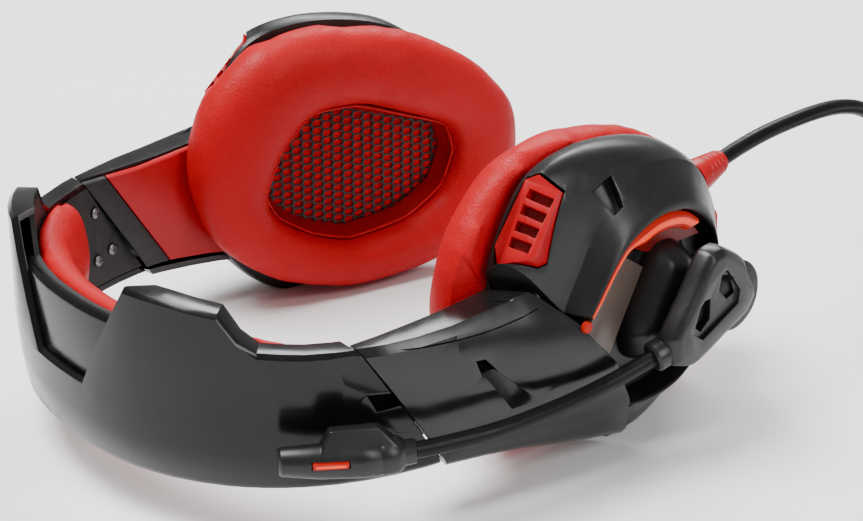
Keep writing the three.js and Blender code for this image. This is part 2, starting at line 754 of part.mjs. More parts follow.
function micHub() {
  const [middleS, middleZ] = [17, 51];
  const ring = (scale, d) => HUB_OUTLINE.map(([s, z]) => (
    cupPoint(mix(middleS, s, scale), mix(middleZ, z, scale), d)
  ));
  const block = loft([ring(0.95, 46), ring(1, 47), ring(1, 52.5), ring(0.9, 54)]);
  const bore = latheAt([[0, 0], [4.2, 0], [4.2, 32], [0, 32]], PIVOT.s, PIVOT.z, 20, 20);
  const pocket = (s, z) => {
    const corners = [[-3, -5], [3, -2.6], [3, 5], [-3, 2.6]];
    return loft([51.5, 60].map((d) => corners.map(([a, b]) => cupPoint(s + a, z + b, d))));
  };
  return cut(block, bore, pocket(10, 49.5), pocket(24, 56));
}

function micAxle() {
  // Pivot pin with the round disc that the boom's block turns on.
  const { s, z, radius, knob } = PIVOT;
  return latheAt([[0, 0], [radius, 0], [radius, 12.8], [knob - 1, 12.8], [knob, 13.6], [knob, 15.4],
    [radius, 15.4], [radius, 21.6], [0, 21.6]], s, z, 30 + GAP, 28);
}

const BOOM_ROUTE = [
  vec(104, 52.6, 39.8), vec(103, 46, 37.7), vec(102.2, 33.8, 35.1), vec(101.9, 14.3, 33.5),
  vec(100.6, -6.7, 32.8), vec(97.4, -22.7, 32.5), vec(94.8, -33.3, 32.6),
];

function micBoom() {
  return tubeAlong(BOOM_ROUTE, BOOM.radius, 10, 26);
}

const HEAD_TIP = vec(78.8, -69.8, 34.6);
const HEAD_SECTIONS = [
  { at: vec(94.3, -34.8, 32.6), half: 3.4, low: -3.4, high: 3.4 },
  { at: vec(93.6, -37.8, 33.1), half: 5, low: -6, high: 6.5 },
  { at: vec(90.8, -46.3, 33.6), half: 5.4, low: -6.5, high: 10 },
  { at: vec(87.1, -55.3, 33.9), half: 5.4, low: -6.3, high: 10 },
  { at: vec(83.8, -61.3, 34.2), half: 5, low: -6, high: 7.5 },
  { at: HEAD_TIP, half: 3.4, low: -4.5, high: 4.5 },
];

const HEAD_ACROSS = vec(0.88, -0.475, 0);
const HEAD_ALONG = vec(-0.475, -0.88, 0);
const LIGHT = { at: vec(86.2, -57, 35.2), half: 5.2, tall: 0.9, sink: 3.2 };

function lightBar(margin, outward) {
  const { at, half, tall, sink } = LIGHT;
  const ring = (side) => [[-1, -1], [1, -1], [1, 1], [-1, 1]].map(([a, b]) => {
    const corner = at.clone().addScaledVector(HEAD_ALONG, a * (half + margin));
    return corner.addScaledVector(HEAD_ACROSS, side).add(vec(0, 0, b * (tall + margin)));
  });
  return loft([ring(sink - margin), ring(outward)]);
}

function capsuleRod(radius, from, to) {
  const at = (depth) => HEAD_TIP.clone().addScaledVector(HEAD_ALONG, -depth);
  return rodBetween(at(from), at(to), radius, 16);
}

function micHead() {
  const across = HEAD_ACROSS;
  const body = loft(HEAD_SECTIONS.map(({ at, half, low, high }) => {
    const corners = [
      [-half, low * 0.5], [-half * 0.5, low], [half * 0.5, low], [half, low * 0.5],
      [half, high * 0.4], [half * 0.45, high], [-half * 0.45, high], [-half, high * 0.4],
    ];
    return corners.map(([side, up]) => at.clone().addScaledVector(across, side).add(vec(0, 0, up)));
  }));
  return cut(body, lightBar(GAP, 12), capsuleRod(2.7, -5, 6));
}

// ---- Cable --------------------------------------------------------------------------
const RELIEF = { from: vec(69.2, 98, 74), to: vec(68.35, 111.3, 76.9), base: 6.2, tip: 3.8 };

function reliefSeat(margin) {
  return rodBetween(RELIEF.from, RELIEF.to, RELIEF.base + margin, 20, RELIEF.tip + margin);
}

const CABLE_ROUTE = [
  vec(68.33, 111.65, 76.98), vec(67.7, 120, 78.7), vec(66.7, 132, 80.2),
  vec(65.6, 145, 80.7), vec(64.3, 158, 80.4), vec(63, 170, 79), vec(61.8, 182, 75.5), vec(60.6, 193, 69),
  vec(59.5, 203, 60), vec(58.2, 211.5, 49.5), vec(57, 219.5, 38.5), vec(56, 227, 27.5),
  vec(55, 235, 17), vec(54.2, 243, 8.8), vec(53.8, 251.5, 4.3),
];

function coilRing() {
  const { innerTurn, pitch, across, layers, bulge, low } = COIL;
  const inner = innerTurn - bulge - CABLE.radius;
  const outer = innerTurn + (across - 1) * pitch + bulge + CABLE.radius;
  return { inner, outer, high: low + (layers - 1) * pitch + 2 * CABLE.radius };
}

function cableCoil() {
  const { inner, outer, high } = coilRing();
  const { low } = COIL;
  const round = 3;
  const profile = [
    [inner, low + round], [inner + round, low], [outer - round, low], [outer, low + round],
    [outer, high - round], [outer - round, high], [inner + round, high], [inner, high - round],
    [inner, low + round],
  ];
  const ring = new THREE.LatheGeometry(profile.map(([r, z]) => new THREE.Vector2(r, z)), 32);
  return ring.rotateX(Math.PI / 2).translate(COIL.x, COIL.y, 0);
}

function cableTie() {
  // Flat strap closed around the coil's section on the side away from the object.
  const { inner, outer, high } = coilRing();
  const { width, thick } = TIE;
  const floor = 0.05;
  const strap = (margin, half) => box(
    vec(COIL.x - half, COIL.y + inner - 1.5 - margin, floor + thick - margin),
    vec(COIL.x + half, COIL.y + outer + 0.6 + margin, high + GAP + margin),
  );
  return cut(strap(thick, width / 2), strap(0, width));
}

const TAIL_ROUTE = [
  vec(112, 289, 20.4), vec(119, 285.5, 20.7), vec(127, 280, 20.6), vec(134.5, 272, 19.5),
  vec(139.5, 262.5, 15), vec(141.5, 253, 8.6), vec(142, 244, 4.9), vec(142, 236, 4.3),
];

function plugBody() {
  const { x, width, height } = PLUG;
  const start = TAIL_ROUTE[TAIL_ROUTE.length - 1].y;
  const low = 0.1;
  const ring = (y, shrinkBy) => {
    const w = width / 2 - shrinkBy;
    const [bottom, top] = [low + shrinkBy * 0.3, low + height - shrinkBy * 0.3];
    const c = 1.6;
    return [
      [-w + c, bottom], [w - c, bottom], [w, bottom + c], [w, top - c],
      [w - c, top], [-w + c, top], [-w, top - c], [-w, bottom + c],
    ].map(([dx, z]) => vec(x + dx, y, z));
  };
  const stations = [[2 * GAP, 3.4], [6, 0.8], [9, 0], [PLUG.length, 0]];
  return loft(stations.map(([back, shrinkBy]) => ring(start - back, shrinkBy)));
}

function plugShell() {
  const { x, height, length, shellLength } = PLUG;
  const back = TAIL_ROUTE[TAIL_ROUTE.length - 1].y - length - GAP;
  const middle = 0.1 + height / 2;
  const tube = box(vec(x - 6, back - shellLength, middle - 2.25), vec(x + 6, back, middle + 2.25));
  return cut(tube, box(vec(x - 5.7, back - 30, middle - 1.95), vec(x + 5.7, back - 1, middle + 1.95)));
}

function plugTongue() {
  const { x, height, length, shellLength } = PLUG;
  const back = TAIL_ROUTE[TAIL_ROUTE.length - 1].y - length - GAP;
  const middle = 0.1 + height / 2;
  return box(vec(x - 5.2, back - shellLength + 0.8, middle - 0.2), vec(x + 5.2, back - 1.3, middle + 1.6));
}

// ---- Assembly -----------------------------------------------------------------------
addPiece('crown_cover', 'glossBlack', crownCover());
addPiece('crown_center_panel', 'glossBlack', crownCenterPanel());
addPiece('crown_liner', 'softBlack', crownLiner());
addPiece('crown_pad', 'redLeather', crownPad());
addPiece('headband_spring', 'steel', headbandSpring());
SCREW.places.forEach(([y, z], i) => addPair(`liner_screw_${i + 1}`, 'steel', linerScrew(y, z)));
addPair('arm_cover', 'satinBlack', armCover());
addPair('arm_red_panel', 'redPlastic', armRedPanel());
addPair('arm_inner_frame', 'softBlack', armInnerFrame());
addPair('slider_guide', 'softBlack', sliderGuide());
addPair('cup_housing', 'satinBlack', cupHousing());
addPair('cup_baffle', 'softBlack', cupBaffle());
addPair('speaker_driver', 'steel', driver());
addPair('ear_cushion', 'redLeather', earCushion());
addPair('ear_mesh', 'softBlack', openingPlate(0.95, 7.4, 8.2));
addPair('ear_cloth', 'redCloth', openingPlate(0.95, 8.5, 9.2));
addPair('light_ring', 'glowRed', lightRing());
addPair('circuit_board', 'boardGreen', circuitBoard());
addPair('red_grip', 'redPlastic', redGrip());
addPair('hinge_block', 'softBlack', hingeBlock());
addPair('hinge_pin', 'steel', hingePin());
addPiece('outer_cap_mic_side', 'glossBlack', outerCap(true));
addPiece('outer_cap_plain_side', 'glossBlack', mirrored(outerCap(false)));
addPiece('mic_hub', 'satinBlack', micHub());
addPiece('mic_axle', 'satinBlack', micAxle());
addPiece('mic_boom', 'softBlack', micBoom());
addPiece('mic_head', 'satinBlack', micHead());
addPiece('mic_light', 'glowRed', lightBar(0, 4.9));
addPiece('mic_capsule', 'steel', capsuleRod(2.3, 1, 5.6));
addPiece('cable_strain_relief', 'redPlastic', reliefSeat(0), true);
addPiece('cable', 'softBlack', tubeAlong(CABLE_ROUTE, CABLE.radius, 8, 24), true);
addPiece('cable_coil', 'softBlack', cableCoil(), true);
addPiece('cable_tie', 'softBlack', cableTie(), true);
addPiece('cable_tail', 'softBlack', tubeAlong(TAIL_ROUTE, CABLE.radius, 8, 10), true);
addPiece('usb_plug_body', 'satinBlack', plugBody(), true);
addPiece('usb_plug_shell', 'steel', plugShell(), true);
addPiece('usb_plug_tongue', 'softBlack', plugTongue(), true);

// The origin goes to the middle of the headset's footprint, measured without the cord.
const bounds = new THREE.Box3();
headset.children.filter((mesh) => !onCord.has(mesh)).forEach((mesh) => bounds.expandByObject(mesh));
const centre = bounds.getCenter(vec());
headset.children.forEach((mesh) => mesh.geometry.translate(-centre.x, -centre.y, -bounds.min.z));

export default headset;
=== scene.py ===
import json
import math

import bmesh
import bpy
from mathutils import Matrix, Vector

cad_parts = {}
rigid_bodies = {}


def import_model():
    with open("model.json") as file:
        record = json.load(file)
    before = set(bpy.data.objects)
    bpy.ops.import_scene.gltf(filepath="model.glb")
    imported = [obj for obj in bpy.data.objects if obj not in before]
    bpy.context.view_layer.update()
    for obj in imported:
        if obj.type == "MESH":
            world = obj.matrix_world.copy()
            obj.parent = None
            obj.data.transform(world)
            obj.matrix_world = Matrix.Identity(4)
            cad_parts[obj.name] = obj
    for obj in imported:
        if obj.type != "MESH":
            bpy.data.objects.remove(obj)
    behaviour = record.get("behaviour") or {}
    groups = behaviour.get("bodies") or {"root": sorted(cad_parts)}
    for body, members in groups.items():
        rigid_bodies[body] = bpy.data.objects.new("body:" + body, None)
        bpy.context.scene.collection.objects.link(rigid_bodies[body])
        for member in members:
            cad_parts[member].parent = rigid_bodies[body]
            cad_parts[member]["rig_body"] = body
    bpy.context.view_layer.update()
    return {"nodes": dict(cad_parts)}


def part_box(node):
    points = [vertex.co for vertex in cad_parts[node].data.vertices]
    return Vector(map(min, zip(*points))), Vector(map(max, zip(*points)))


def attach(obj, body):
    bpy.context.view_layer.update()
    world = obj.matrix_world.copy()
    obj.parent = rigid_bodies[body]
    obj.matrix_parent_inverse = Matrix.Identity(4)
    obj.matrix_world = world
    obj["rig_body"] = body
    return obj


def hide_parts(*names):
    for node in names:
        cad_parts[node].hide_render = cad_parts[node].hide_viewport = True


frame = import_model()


# ---- Places ------------------------------------------------------------------------
# The headset is described in millimetres about its own mirror plane; SHIFT carries
# those coordinates into the row frame.
MM = 0.001
HINGE_X, HINGE_Y = 83, 21


def node_middle(name):
    low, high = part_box(name)
    return (low + high) / 2


_hinge = node_middle("hinge_pin_mic_side")
SHIFT = Vector((_hinge.x - HINGE_X * MM, _hinge.y - HINGE_Y * MM, 0))
SIDES = {"mic_side": 1, "plain_side": -1}

TOE = math.radians(8)
CUP_X, CUP_Y = 57, 50
ALONG = Vector((-math.sin(TOE), math.cos(TOE), 0))
OUTWARD = Vector((math.cos(TOE), math.sin(TOE), 0))
CUP_MIDDLE = (8, 50)


def at(x, y, z):
    """Row-frame point of headset coordinates in millimetres."""
    return Vector((x, y, z)) * MM + SHIFT


def cup(s, z, d, side=1):
    """Row-frame point of ear-cup coordinates: along the cup, height and depth outwards."""
    p = Vector((CUP_X, CUP_Y, z)) + ALONG * s + OUTWARD * d
    return at(side * p.x, p.y, p.z)


# ---- Camera ------------------------------------------------------------------------
CAMERA_AT = (565.14, -394.18, 371.58)
CAMERA_TURN, CAMERA_DROP = math.radians(52.03), math.radians(25.19)
LENS, SENSOR = 99.04, 36


def make_camera():
    data = bpy.data.cameras.new("camera")
    data.lens, data.sensor_width = LENS, SENSOR
    data.clip_start, data.clip_end = 0.01, 20
    camera = bpy.data.objects.new("camera", data)
    bpy.context.scene.collection.objects.link(camera)
    camera.location = at(*CAMERA_AT)
    flat = math.cos(CAMERA_DROP)
    look = Vector((-math.sin(CAMERA_TURN) * flat, math.cos(CAMERA_TURN) * flat, -math.sin(CAMERA_DROP)))
    camera.rotation_mode = "QUATERNION"
    camera.rotation_quaternion = look.to_track_quat("-Z", "Y")
    bpy.context.scene.camera = camera


make_camera()


# ---- Mesh helpers ------------------------------------------------------------------
def link(name, data):
    obj = bpy.data.objects.new(name, data)
    bpy.context.scene.collection.objects.link(obj)
    return obj


def mesh_object(name, points, faces):
    mesh = bpy.data.meshes.new(name)
    mesh.from_pydata([tuple(p) for p in points], [], faces)
    mesh.update()
    obj = link(name, mesh)
    face_out(obj)
    return obj


def face_out(obj):
    bm = bmesh.new()
    bm.from_mesh(obj.data)
    bmesh.ops.recalc_face_normals(bm, faces=bm.faces)
    bm.to_mesh(obj.data)
    bm.free()


def smooth(obj, angle=35):
    """Smooth shading, with edges sharper than the angle kept sharp."""
    limit = math.radians(angle)
    bm = bmesh.new()
    bm.from_mesh(obj.data)
    for face in bm.faces:
        face.smooth = True
    for edge in bm.edges:
        flat = len(edge.link_faces) == 2 and edge.calc_face_angle(0) < limit
        edge.smooth = flat
    bm.to_mesh(obj.data)
    bm.free()
    return obj


def add_modifier(obj, kind, **settings):
    modifier = obj.modifiers.new(kind.lower(), kind)
    for key, value in settings.items():
        setattr(modifier, key, value)
    return modifier


def apply_modifiers(obj):
    graph = bpy.context.evaluated_depsgraph_get()
    mesh = bpy.data.meshes.new_from_object(obj.evaluated_get(graph))
    obj.modifiers.clear()
    obj.data = mesh
    return obj


def rounded(obj, width, segments=3, angle=30):
    """Rounds the edges sharper than the angle by a small bevel."""
    add_modifier(
        obj, "BEVEL", width=width * MM, segments=segments, limit_method="ANGLE",
        angle_limit=math.radians(angle), harden_normals=False, miter_outer="MITER_ARC",
    )
    apply_modifiers(obj)
    return smooth(obj, 40)


def copy_of(node, name):
    """A welded copy of a CAD node's mesh, to be worked on as the piece that is seen."""
    obj = link(name, frame["nodes"][node].data.copy())
    bm = bmesh.new()
    bm.from_mesh(obj.data)
    bmesh.ops.remove_doubles(bm, verts=bm.verts, dist=2e-5)
    bmesh.ops.dissolve_limit(bm, angle_limit=math.radians(0.6), verts=bm.verts, edges=bm.edges)
    bm.to_mesh(obj.data)
    bm.free()
    obj.data.materials.clear()
    return obj


def loft(name, rings, closed_ring=True, closed_path=False, caps=True):
    """Skins rings of points of equal length."""
    size = len(rings[0])
    points = [p for ring in rings for p in ring]
    faces = []
    spans = len(rings) if closed_path else len(rings) - 1
    around = size if closed_ring else size - 1
    for r in range(spans):
        nxt = (r + 1) % len(rings)
        for i in range(around):
            j = (i + 1) % size
            faces.append((r * size + i, r * size + j, nxt * size + j, nxt * size + i))
    if caps and not closed_path:
        faces.append(tuple(range(size)))
        faces.append(tuple(range((len(rings) - 1) * size, len(rings) * size)))
    return mesh_object(name, points, faces)


def body_of_node(node):
    return frame["nodes"][node]["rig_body"]


def stand_for(obj, node, material):
    """obj is shown in place of the CAD node, on the same body."""
    obj.data.materials.clear()
    obj.data.materials.append(material)
    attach(obj, body_of_node(node))
    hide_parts(node)
    return obj


def extra(obj, body, material):
    """A visual detail that has no CAD node of its own."""
    obj.data.materials.clear()
    obj.data.materials.append(material)
    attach(obj, body)
    return obj


def lathe(name, profile, centre, axis, sides=48):
    """Turned piece: profile is [radius, height] in millimetres along the axis."""
    turn = Vector((0, 0, 1)).rotation_difference(axis.normalized()).to_matrix()
    rings = []
    for k in range(sides):
        a = 2 * math.pi * k / sides
        ring = [centre + turn @ Vector((r * math.cos(a), r * math.sin(a), h)) * MM for r, h in profile]
        rings.append(ring)
    obj = loft(name, rings, closed_ring=False, closed_path=True, caps=False)
    bm = bmesh.new()
    bm.from_mesh(obj.data)
    bmesh.ops.remove_doubles(bm, verts=bm.verts, dist=1e-7)
    bmesh.ops.recalc_face_normals(bm, faces=bm.faces)
    bm.to_mesh(obj.data)
    bm.free()
    return obj


# ---- Materials ---------------------------------------------------------------------
class Look:
    """A procedural material under construction."""

    def __init__(self, name, color, roughness, **settings):
        self.material = bpy.data.materials.new(name)
        self.material.use_nodes = True
        self.nodes = self.material.node_tree.nodes
        self.links = self.material.node_tree.links
        self.shader = self.nodes["Principled BSDF"]
        self.set("Base Color", (*color, 1))
        self.set("Roughness", roughness)
        for key, value in settings.items():
            self.set(key.replace("_", " "), value)
        self.coordinates = self.nodes.new("ShaderNodeTexCoord").outputs["Object"]
        self.height = None

    def set(self, socket, value):
        self.shader.inputs[socket].default_value = value

    def noise(self, scale, detail=4, rough=0.5):
        texture = self.nodes.new("ShaderNodeTexNoise")
        texture.inputs["Scale"].default_value = scale
        texture.inputs["Detail"].default_value = detail
        texture.inputs["Roughness"].default_value = rough
        self.links.new(self.coordinates, texture.inputs["Vector"])
        return texture.outputs["Fac"]

    def cells(self, scale, feature="F1", randomness=1.0):
        texture = self.nodes.new("ShaderNodeTexVoronoi")
        texture.feature = feature
        texture.inputs["Scale"].default_value = scale
        texture.inputs["Randomness"].default_value = randomness
        self.links.new(self.coordinates, texture.inputs["Vector"])
        return texture.outputs["Distance"]

    def ramp(self, source, stops):
        ramp = self.nodes.new("ShaderNodeValToRGB")
        elements = ramp.color_ramp.elements
        while len(elements) < len(stops):
            elements.new(0.5)
        for element, (place, color) in zip(elements, stops):
            element.position = place
            element.color = (*color, 1) if len(color) == 3 else color
        self.links.new(source, ramp.inputs["Fac"])
        return ramp.outputs["Color"]

    def tint(self, source, stops):
        self.links.new(self.ramp(source, stops), self.shader.inputs["Base Color"])
        return self

    def roughen(self, source, low, high):
        spread = self.nodes.new("ShaderNodeMapRange")
        spread.inputs["From Min"].default_value = 0.3
        spread.inputs["From Max"].default_value = 0.7
        spread.inputs["To Min"].default_value = low
        spread.inputs["To Max"].default_value = high
        self.links.new(source, spread.inputs["Value"])
        self.links.new(spread.outputs["Result"], self.shader.inputs["Roughness"])
        return self

    def bump(self, source, strength, distance):
        bump = self.nodes.new("ShaderNodeBump")
        bump.inputs["Strength"].default_value = strength
        bump.inputs["Distance"].default_value = distance
        self.links.new(source, bump.inputs["Height"])
        if self.height:
            self.links.new(self.height, bump.inputs["Normal"])
        self.height = bump.outputs["Normal"]
        self.links.new(self.height, self.shader.inputs["Normal"])
        return self


def gloss_black():
    look = Look("gloss_black", (0.003, 0.003, 0.0035), 0.1, Specular_IOR_Level=0.26)
    look.tint(look.noise(40), [(0.3, (0.0025, 0.0025, 0.003)), (0.7, (0.0045, 0.0045, 0.005))])
    look.roughen(look.noise(160, 6), 0.15, 0.22)
    look.bump(look.noise(900, 3), 0.04, 0.0001)
    return look.material


def satin_black():
    look = Look("satin_black", (0.005, 0.005, 0.005), 0.3, Specular_IOR_Level=0.34)
    look.tint(look.noise(60), [(0.3, (0.004, 0.004, 0.0042)), (0.7, (0.0075, 0.0073, 0.007))])
    look.roughen(look.noise(220, 6), 0.3, 0.4)
    look.bump(look.noise(2600, 2), 0.04, 0.0001)
    return look.material


def arm_black():
    look = Look("arm_black", (0.005, 0.005, 0.005), 0.22, Specular_IOR_Level=0.38)
    look.tint(look.noise(60), [(0.3, (0.004, 0.004, 0.0042)), (0.7, (0.007, 0.0068, 0.0066))])
    look.roughen(look.noise(180, 6), 0.18, 0.25)
    look.bump(look.noise(2600, 2), 0.015, 0.0001)
    return look.material


def soft_black():
    look = Look("soft_black", (0.005, 0.005, 0.005), 0.5, Specular_IOR_Level=0.35)
    look.tint(look.noise(90), [(0.3, (0.004, 0.004, 0.0045)), (0.7, (0.0085, 0.0085, 0.009))])
    look.roughen(look.noise(400, 4), 0.45, 0.6)
    look.bump(look.cells(1500), 0.12, 0.0001)
    return look.material


def cable_black():
    look = Look("cable_black", (0.003, 0.003, 0.003), 0.4, Specular_IOR_Level=0.14)
    look.tint(look.noise(120), [(0.3, (0.002, 0.002, 0.002)), (0.7, (0.004, 0.004, 0.004))])
    look.roughen(look.noise(300, 4), 0.32, 0.45)
    look.bump(look.noise(1800, 3), 0.12, 0.0001)
    return look.material


def red_leather():
    look = Look("red_leather", (0.75, 0.0, 0.0), 0.5, Specular_IOR_Level=0.16)
    look.tint(look.noise(35, 5), [(0.25, (0.33, 0.0, 0.003)), (0.75, (0.39, 0.0, 0.005))])
    look.roughen(look.noise(150, 5), 0.42, 0.6)
    look.bump(look.cells(1300, "SMOOTH_F1"), 0.45, 0.0003)
    look.bump(look.noise(2200, 3, 0.5), 0.12, 0.0001)
    return look.material


def red_plastic():
    look = Look("red_plastic", (0.72, 0.0, 0.001), 0.36, Specular_IOR_Level=0.25)
    look.tint(look.noise(50), [(0.3, (0.3, 0.0, 0.003)), (0.7, (0.36, 0.0, 0.005))])
    look.roughen(look.noise(240, 5), 0.3, 0.44)
    look.bump(look.noise(1600, 3), 0.08, 0.0001)
    return look.material


def red_cloth():
    look = Look("red_cloth", (0.9, 0.0, 0.0), 0.85, Specular_IOR_Level=0.1)
    look.tint(look.noise(400, 3), [(0.3, (0.42, 0.0, 0.002)), (0.7, (0.52, 0.002, 0.004))])
    look.bump(look.cells(1800, "F1", 0.3), 0.4, 0.0003)
    return look.material


def glow_red():
    look = Look("glow_red", (0.6, 0.03, 0.0), 0.3, Specular_IOR_Level=0.2)
    look.tint(look.noise(60, 2), [(0.3, (0.16, 0.0, 0.0)), (0.7, (0.2, 0.004, 0.0))])
    glow = look.ramp(look.noise(45, 2), [(0.35, (1.0, 0.01, 0.0)), (0.65, (1.0, 0.03, 0.002))])
    look.links.new(glow, look.shader.inputs["Emission Color"])
    look.set("Emission Strength", 0.32)
    return look.material


def steel():
    look = Look("steel", (0.5, 0.5, 0.52), 0.28, Metallic=1.0)
    look.tint(look.noise(90, 4), [(0.3, (0.42, 0.42, 0.44)), (0.7, (0.58, 0.58, 0.6))])
    look.roughen(look.noise(500, 6), 0.2, 0.38)
    look.bump(look.noise(1500, 2), 0.05, 0.0001)
    return look.material


def dark_steel():
    look = Look("dark_steel", (0.12, 0.12, 0.13), 0.35, Metallic=1.0)
    look.tint(look.noise(120, 4), [(0.3, (0.09, 0.09, 0.1)), (0.7, (0.18, 0.18, 0.19))])
    look.roughen(look.noise(500, 6), 0.28, 0.45)
    return look.material


def board_green():
    look = Look("board_green", (0.02, 0.12, 0.05), 0.4, Coat_Weight=0.3)
    look.tint(look.cells(300, "DISTANCE_TO_EDGE"), [(0.02, (0.05, 0.25, 0.1)), (0.1, (0.015, 0.09, 0.04))])
    return look.material


# Near-black matte: the dark joint line of the arm's seam, and painted shade on the floors of the crown
# pocket and the arm slit.
def seam_and_painted_shade_black():
    look = Look("seam_and_painted_shade_black", (0.0015, 0.0015, 0.0015), 0.8, Specular_IOR_Level=0.03)
    look.roughen(look.noise(300, 3), 0.7, 0.9)
    return look.material


# Faint red emission on a surface that is no lamp: painted glow standing for the light strip's red light on
# the facet near it.
def painted_red_glow():
    look = Look("painted_red_glow", (0.03, 0.001, 0.0), 0.4, Specular_IOR_Level=0.3)
    look.tint(look.noise(50, 2), [(0.3, (0.02, 0.0005, 0.0)), (0.7, (0.05, 0.001, 0.0))])
    glow = look.ramp(look.noise(90, 3), [(0.3, (0.6, 0.0, 0.0)), (0.7, (1.0, 0.01, 0.0))])
    look.links.new(glow, look.shader.inputs["Emission Color"])
    look.set("Emission Strength", 0.12)
    return look.material


def grille_black():
    look = Look("grille_black", (0.003, 0.003, 0.003), 0.35, Specular_IOR_Level=0.25)
    look.tint(look.noise(200), [(0.3, (0.0025, 0.0025, 0.0025)), (0.7, (0.005, 0.005, 0.005))])
    look.roughen(look.noise(700, 4), 0.28, 0.45)
    return look.material


def smoked_panel():
    look = Look("smoked_panel", (0.08, 0.06, 0.05), 0.35)
    look.tint(look.noise(30, 3), [(0.3, (0.085, 0.06, 0.05)), (0.7, (0.11, 0.08, 0.068))])
    look.roughen(look.noise(200, 4), 0.34, 0.44)
    return look.material


def red_lining():
    look = Look("red_lining", (0.55, 0.0, 0.001), 0.6, Specular_IOR_Level=0.1)
    look.tint(look.noise(40, 4), [(0.3, (0.18, 0.0, 0.001)), (0.7, (0.23, 0.0, 0.003))])
    look.bump(look.cells(900), 0.3, 0.0003)
    return look.material


def hot_glow():
    look = Look("hot_glow", (0.3, 0.02, 0.01), 0.3, Specular_IOR_Level=0.2)
    look.tint(look.noise(80, 2), [(0.3, (0.25, 0.01, 0.0)), (0.7, (0.35, 0.03, 0.01))])
    glow = look.ramp(look.noise(200, 2), [(0.35, (1.0, 0.05, 0.015)), (0.65, (1.0, 0.09, 0.03))])
    look.links.new(glow, look.shader.inputs["Emission Color"])
    look.set("Emission Strength", 1.1)
    return look.material


def pale_floor():
    look = Look("pale_floor", (0.9, 0.9, 0.9), 0.7)
    look.tint(look.noise(6, 2), [(0.3, (0.88, 0.88, 0.88)), (0.7, (0.91, 0.91, 0.91))])
    return look.material


LOOKS = {
    make.__name__: make()
    for make in (gloss_black, satin_black, arm_black, soft_black, cable_black, red_leather, red_plastic,
                 red_cloth, glow_red, steel, dark_steel, board_green, seam_and_painted_shade_black, grille_black,
                 smoked_panel, red_lining, hot_glow, painted_red_glow, pale_floor)
}


# ---- Cable -------------------------------------------------------------------------
CABLE_RADIUS = 2.6
CABLE_ROUTE = [
    (68.9, 104, 75.3), (68.33, 111.65, 76.98), (67.7, 120, 78.7), (66.7, 132, 80.2), (65.6, 145, 80.7),
    (64.3, 158, 80.4), (63, 170, 79), (61.8, 182, 75.5), (60.6, 193, 69), (59.5, 203, 60),
    (58.2, 211.5, 49.5), (57, 219.5, 38.5), (56, 227, 27.5), (55, 235, 17), (54.2, 243, 8.8),
    (53.8, 251.5, 4.3), (53.8, 263, 3.7),
]
TAIL_ROUTE = [
    (112, 289, 20.4), (119, 285.5, 20.7), (127, 280, 20.6), (134.5, 272, 19.5), (139.5, 262.5, 15),
    (141.5, 253, 8.6), (142, 244, 4.9), (142, 236, 4.3),
]
COIL_MIDDLE = (92, 276)
COIL_INNER, COIL_PITCH, COIL_TURNS, COIL_BULGE = 22, 5.4, 3, 1.5
CLIMB_TURNS = 2 / 3
POINTS_PER_TURN = 20


def coil_points():
    """Three flat spirals on top of each other, joined by short climbs."""
    inner, outer = COIL_INNER, COIL_INNER + COIL_TURNS * COIL_PITCH
    levels = [3.7 + k * COIL_PITCH for k in range(3)]
    stretches = [
        (COIL_TURNS, outer, inner, levels[0], levels[0], 0),
        (CLIMB_TURNS, inner, inner, levels[0], levels[1], -COIL_BULGE),
        (COIL_TURNS, inner, outer, levels[1], levels[1], 0),
        (CLIMB_TURNS, outer, outer, levels[1], levels[2], COIL_BULGE),
        (COIL_TURNS, outer, inner, levels[2], levels[2], 0),
    ]
    angle = math.pi
    points = []
    for turns, r0, r1, z0, z1, bulge in stretches:
        count = round(turns * POINTS_PER_TURN)
        for k in range(count):
            part = k / count
            ease = part * part * (3 - 2 * part)
            r = r0 + (r1 - r0) * part + bulge * math.sin(math.pi * part)
            z = z0 + (z1 - z0) * ease
            turn = angle - 2 * math.pi * turns * part
            points.append((COIL_MIDDLE[0] + r * math.cos(turn), COIL_MIDDLE[1] + r * math.sin(turn), z))
        angle -= 2 * math.pi * turns
    x, y = COIL_MIDDLE[0] + inner * math.cos(angle), COIL_MIDDLE[1] + inner * math.sin(angle)
    points.append((x, y, levels[2]))
    return points


def smooth_route(points, steps=4):
    """Catmull-Rom points through the given ones."""
    ends = [2 * points[0] - points[1], *points, 2 * points[-1] - points[-2]]
    made = []
    for a, b, c, d in zip(ends, ends[1:], ends[2:], ends[3:]):
        for k in range(steps):
            t = k / steps
            made.append(0.5 * (2 * b + (c - a) * t + (2 * a - 5 * b + 4 * c - d) * t ** 2
                               + (3 * b - a - 3 * c + d) * t ** 3))
    made.append(points[-1])
    return made


def tube_curve(name, points, radius, resolution=6):
    data = bpy.data.curves.new(name, "CURVE")
    data.dimensions = "3D"
    data.bevel_depth = radius * MM
    data.bevel_resolution = resolution
    data.use_fill_caps = True
    spline = data.splines.new("POLY")
    spline.points.add(len(points) - 1)
    for place, p in zip(spline.points, points):
        place.co = (*p, 1)
    spline.use_smooth = True
    return link(name, data)


def make_cable():
    points = smooth_route([at(*p) for p in [*CABLE_ROUTE, *coil_points(), *TAIL_ROUTE]])
    cable = tube_curve("usb_cable", points, CABLE_RADIUS)
    cable.data.materials.append(LOOKS["cable_black"])
    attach(cable, "cup_mic_side")
    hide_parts("cable", "cable_coil", "cable_tail")
    ends = ("cable_tie", "usb_plug_body", "usb_plug_shell", "usb_plug_tongue")
    on_it = [frame["nodes"][name] for name in ends]
    on_it.append(make_relief())


